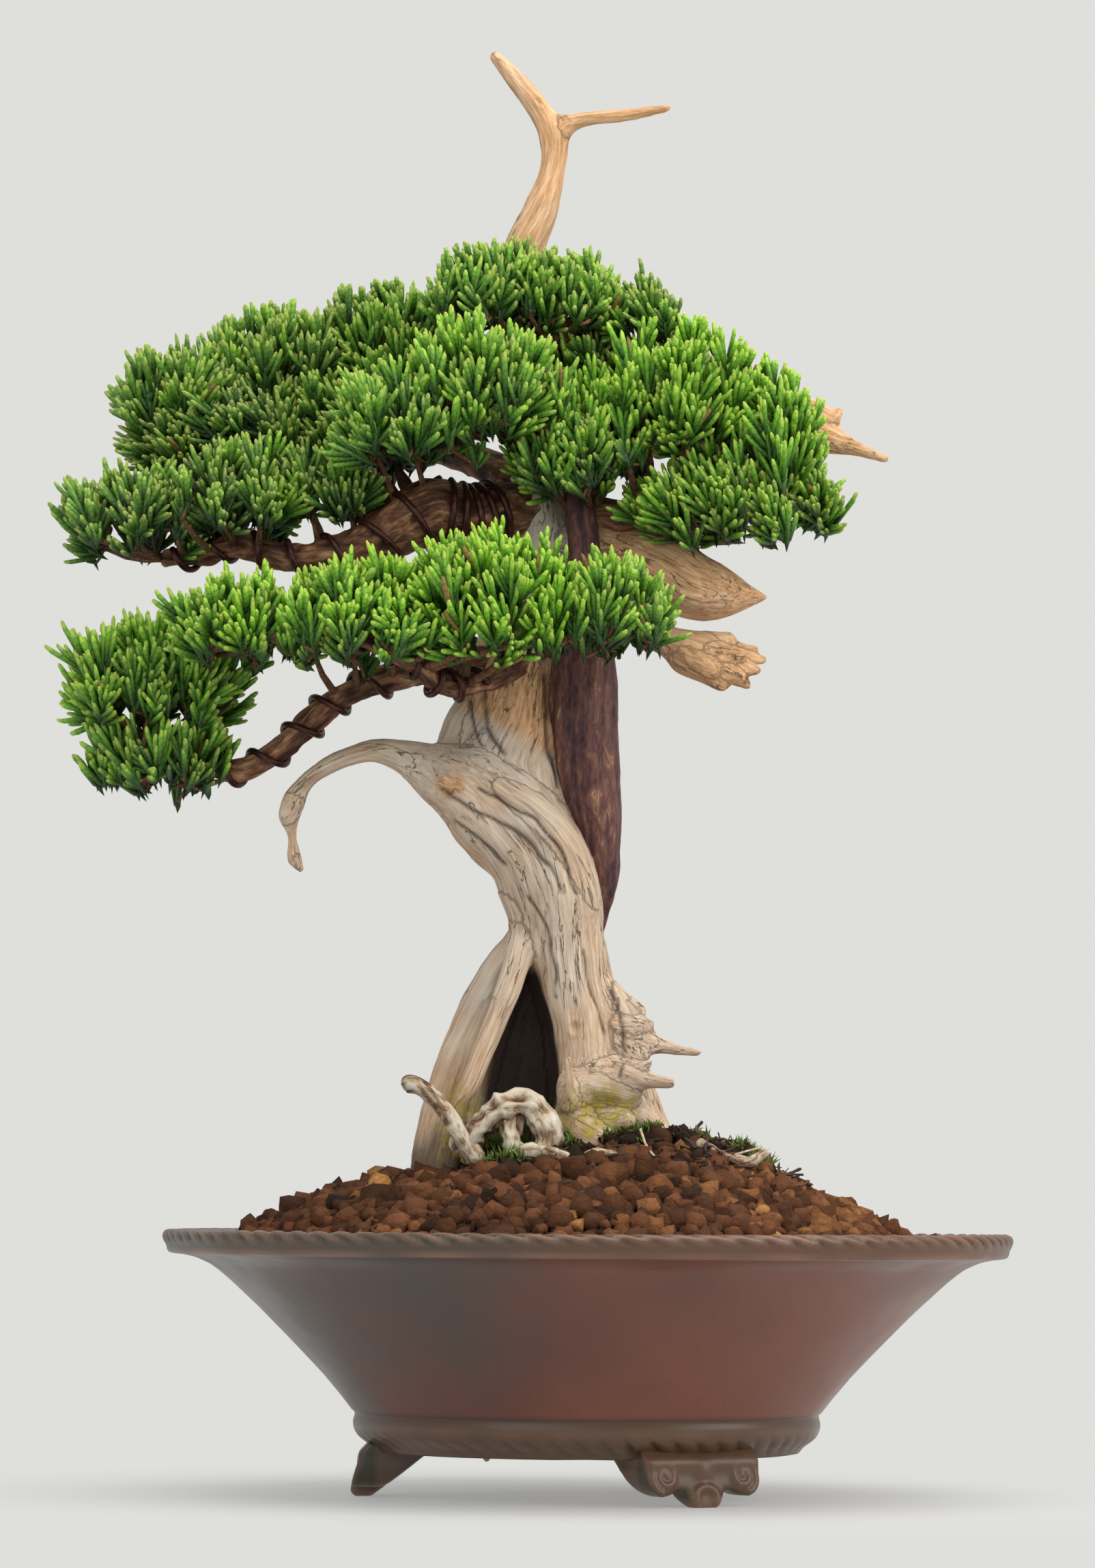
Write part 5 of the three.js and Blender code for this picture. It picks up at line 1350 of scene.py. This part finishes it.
shape = rods(roots - ahead * length[:, None] / 2, ahead, bend, length, radius,
             [(0, 0), (0.02, 0.9), (0.3, 1.1), (0.6, 0.8), (0.98, 0.9), (1, 0)], 5)
shape = shape + 0.22 * noise(shape / 1.3, 62)[..., None] * radius[:, None, None, None] * 4
bits = rods_piece("soil_litter", shape, LITTER)
mark(bits, "tone", np.repeat(np.where(pale, random.uniform(0.7, 0.9, count),
                                      random.uniform(0, 0.45, count)), 30))
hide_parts("soil")


# ---------------------------------------------------------------- drainage screens
# Squares of black plastic netting cut to discs lie over the two drainage holes, each held by one bent
# aluminium wire whose legs go down the hole and turn out under the pot.

SCREEN_RADIUS, NET_PITCH, NET_RADIUS = 12.0, 2.2, 0.32
# Moulded plastic, dulled by silt in patches of two and a half millimetres, and drawn wire gone hazy
# in patches of two.
netting, tree, shader = shader_of("black_plastic_netting", Roughness=0.5)
place = node(tree, "ShaderNodeTexCoord").outputs["Object"]
silt = node(tree, "ShaderNodeTexNoise", {"Vector": place, "Scale": 1000 / 2.5, "Detail": 4.0})
shade = node(tree, "ShaderNodeValToRGB", {"Fac": silt.outputs["Fac"]},
             stops=[(0.4, "#1c1c1c"), (0.7, "#4a3b2f")])
tree.links.new(shade.outputs["Color"], shader.inputs["Base Color"])
wire_metal, tree, shader = shader_of("dull_aluminium", Metallic=1.0)
place = node(tree, "ShaderNodeTexCoord").outputs["Object"]
haze = node(tree, "ShaderNodeTexNoise", {"Vector": place, "Scale": 1000 / 2, "Detail": 4.0})
shade = node(tree, "ShaderNodeValToRGB", {"Fac": haze.outputs["Fac"]},
             stops=[(0.3, "#8d8b87"), (0.7, "#b9b7b2")])
dulled = node(tree, "ShaderNodeMapRange", {"Value": haze.outputs["Fac"], "To Min": 0.35, "To Max": 0.6})
tree.links.new(shade.outputs["Color"], shader.inputs["Base Color"])
tree.links.new(dulled.outputs["Result"], shader.inputs["Roughness"])
for side, middle in {"left": -HOLE_OFFSET, "right": HOLE_OFFSET}.items():
    row = np.arange(-SCREEN_RADIUS + 1, SCREEN_RADIUS, NET_PITCH)
    half = np.sqrt(SCREEN_RADIUS ** 2 - row ** 2)
    flat = np.zeros_like(row)
    level = np.full_like(row, FLOOR_TOP + 0.85)
    along_x = np.stack([middle - half, row, level + 0.2], 1), np.stack([2 * half, flat, flat], 1)
    along_y = np.stack([middle + row, -half, level - 0.1], 1), np.stack([flat, 2 * half, flat], 1)
    start, span = (np.concatenate(pair) for pair in zip(along_x, along_y))
    length = np.linalg.norm(span, axis=1)
    shape = rods(start, span / length[:, None], 0 * span, length, np.full(len(span), NET_RADIUS),
                 [(0, 0), (0.01, 1), (0.99, 1), (1, 0)], 6)
    net = rods_piece(f"drain_net_{side}", shape, netting)
    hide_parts(f"drain_mesh_{side}")
    leg = [(-12.2, 8.9), (-6.4, 8.9), (-5.5, 9.9), (-5.5, 17.4), (-4.6, 18.4)]
    bent = [(middle, y, z, WIRE_RADIUS) for y, z in leg]
    bent += [(middle, -y, z, WIRE_RADIUS) for y, z in reversed(leg)]
    clip = round_wire(f"drain_wire_{side}", bent, wire_metal)
    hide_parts(f"drain_clip_{side}")
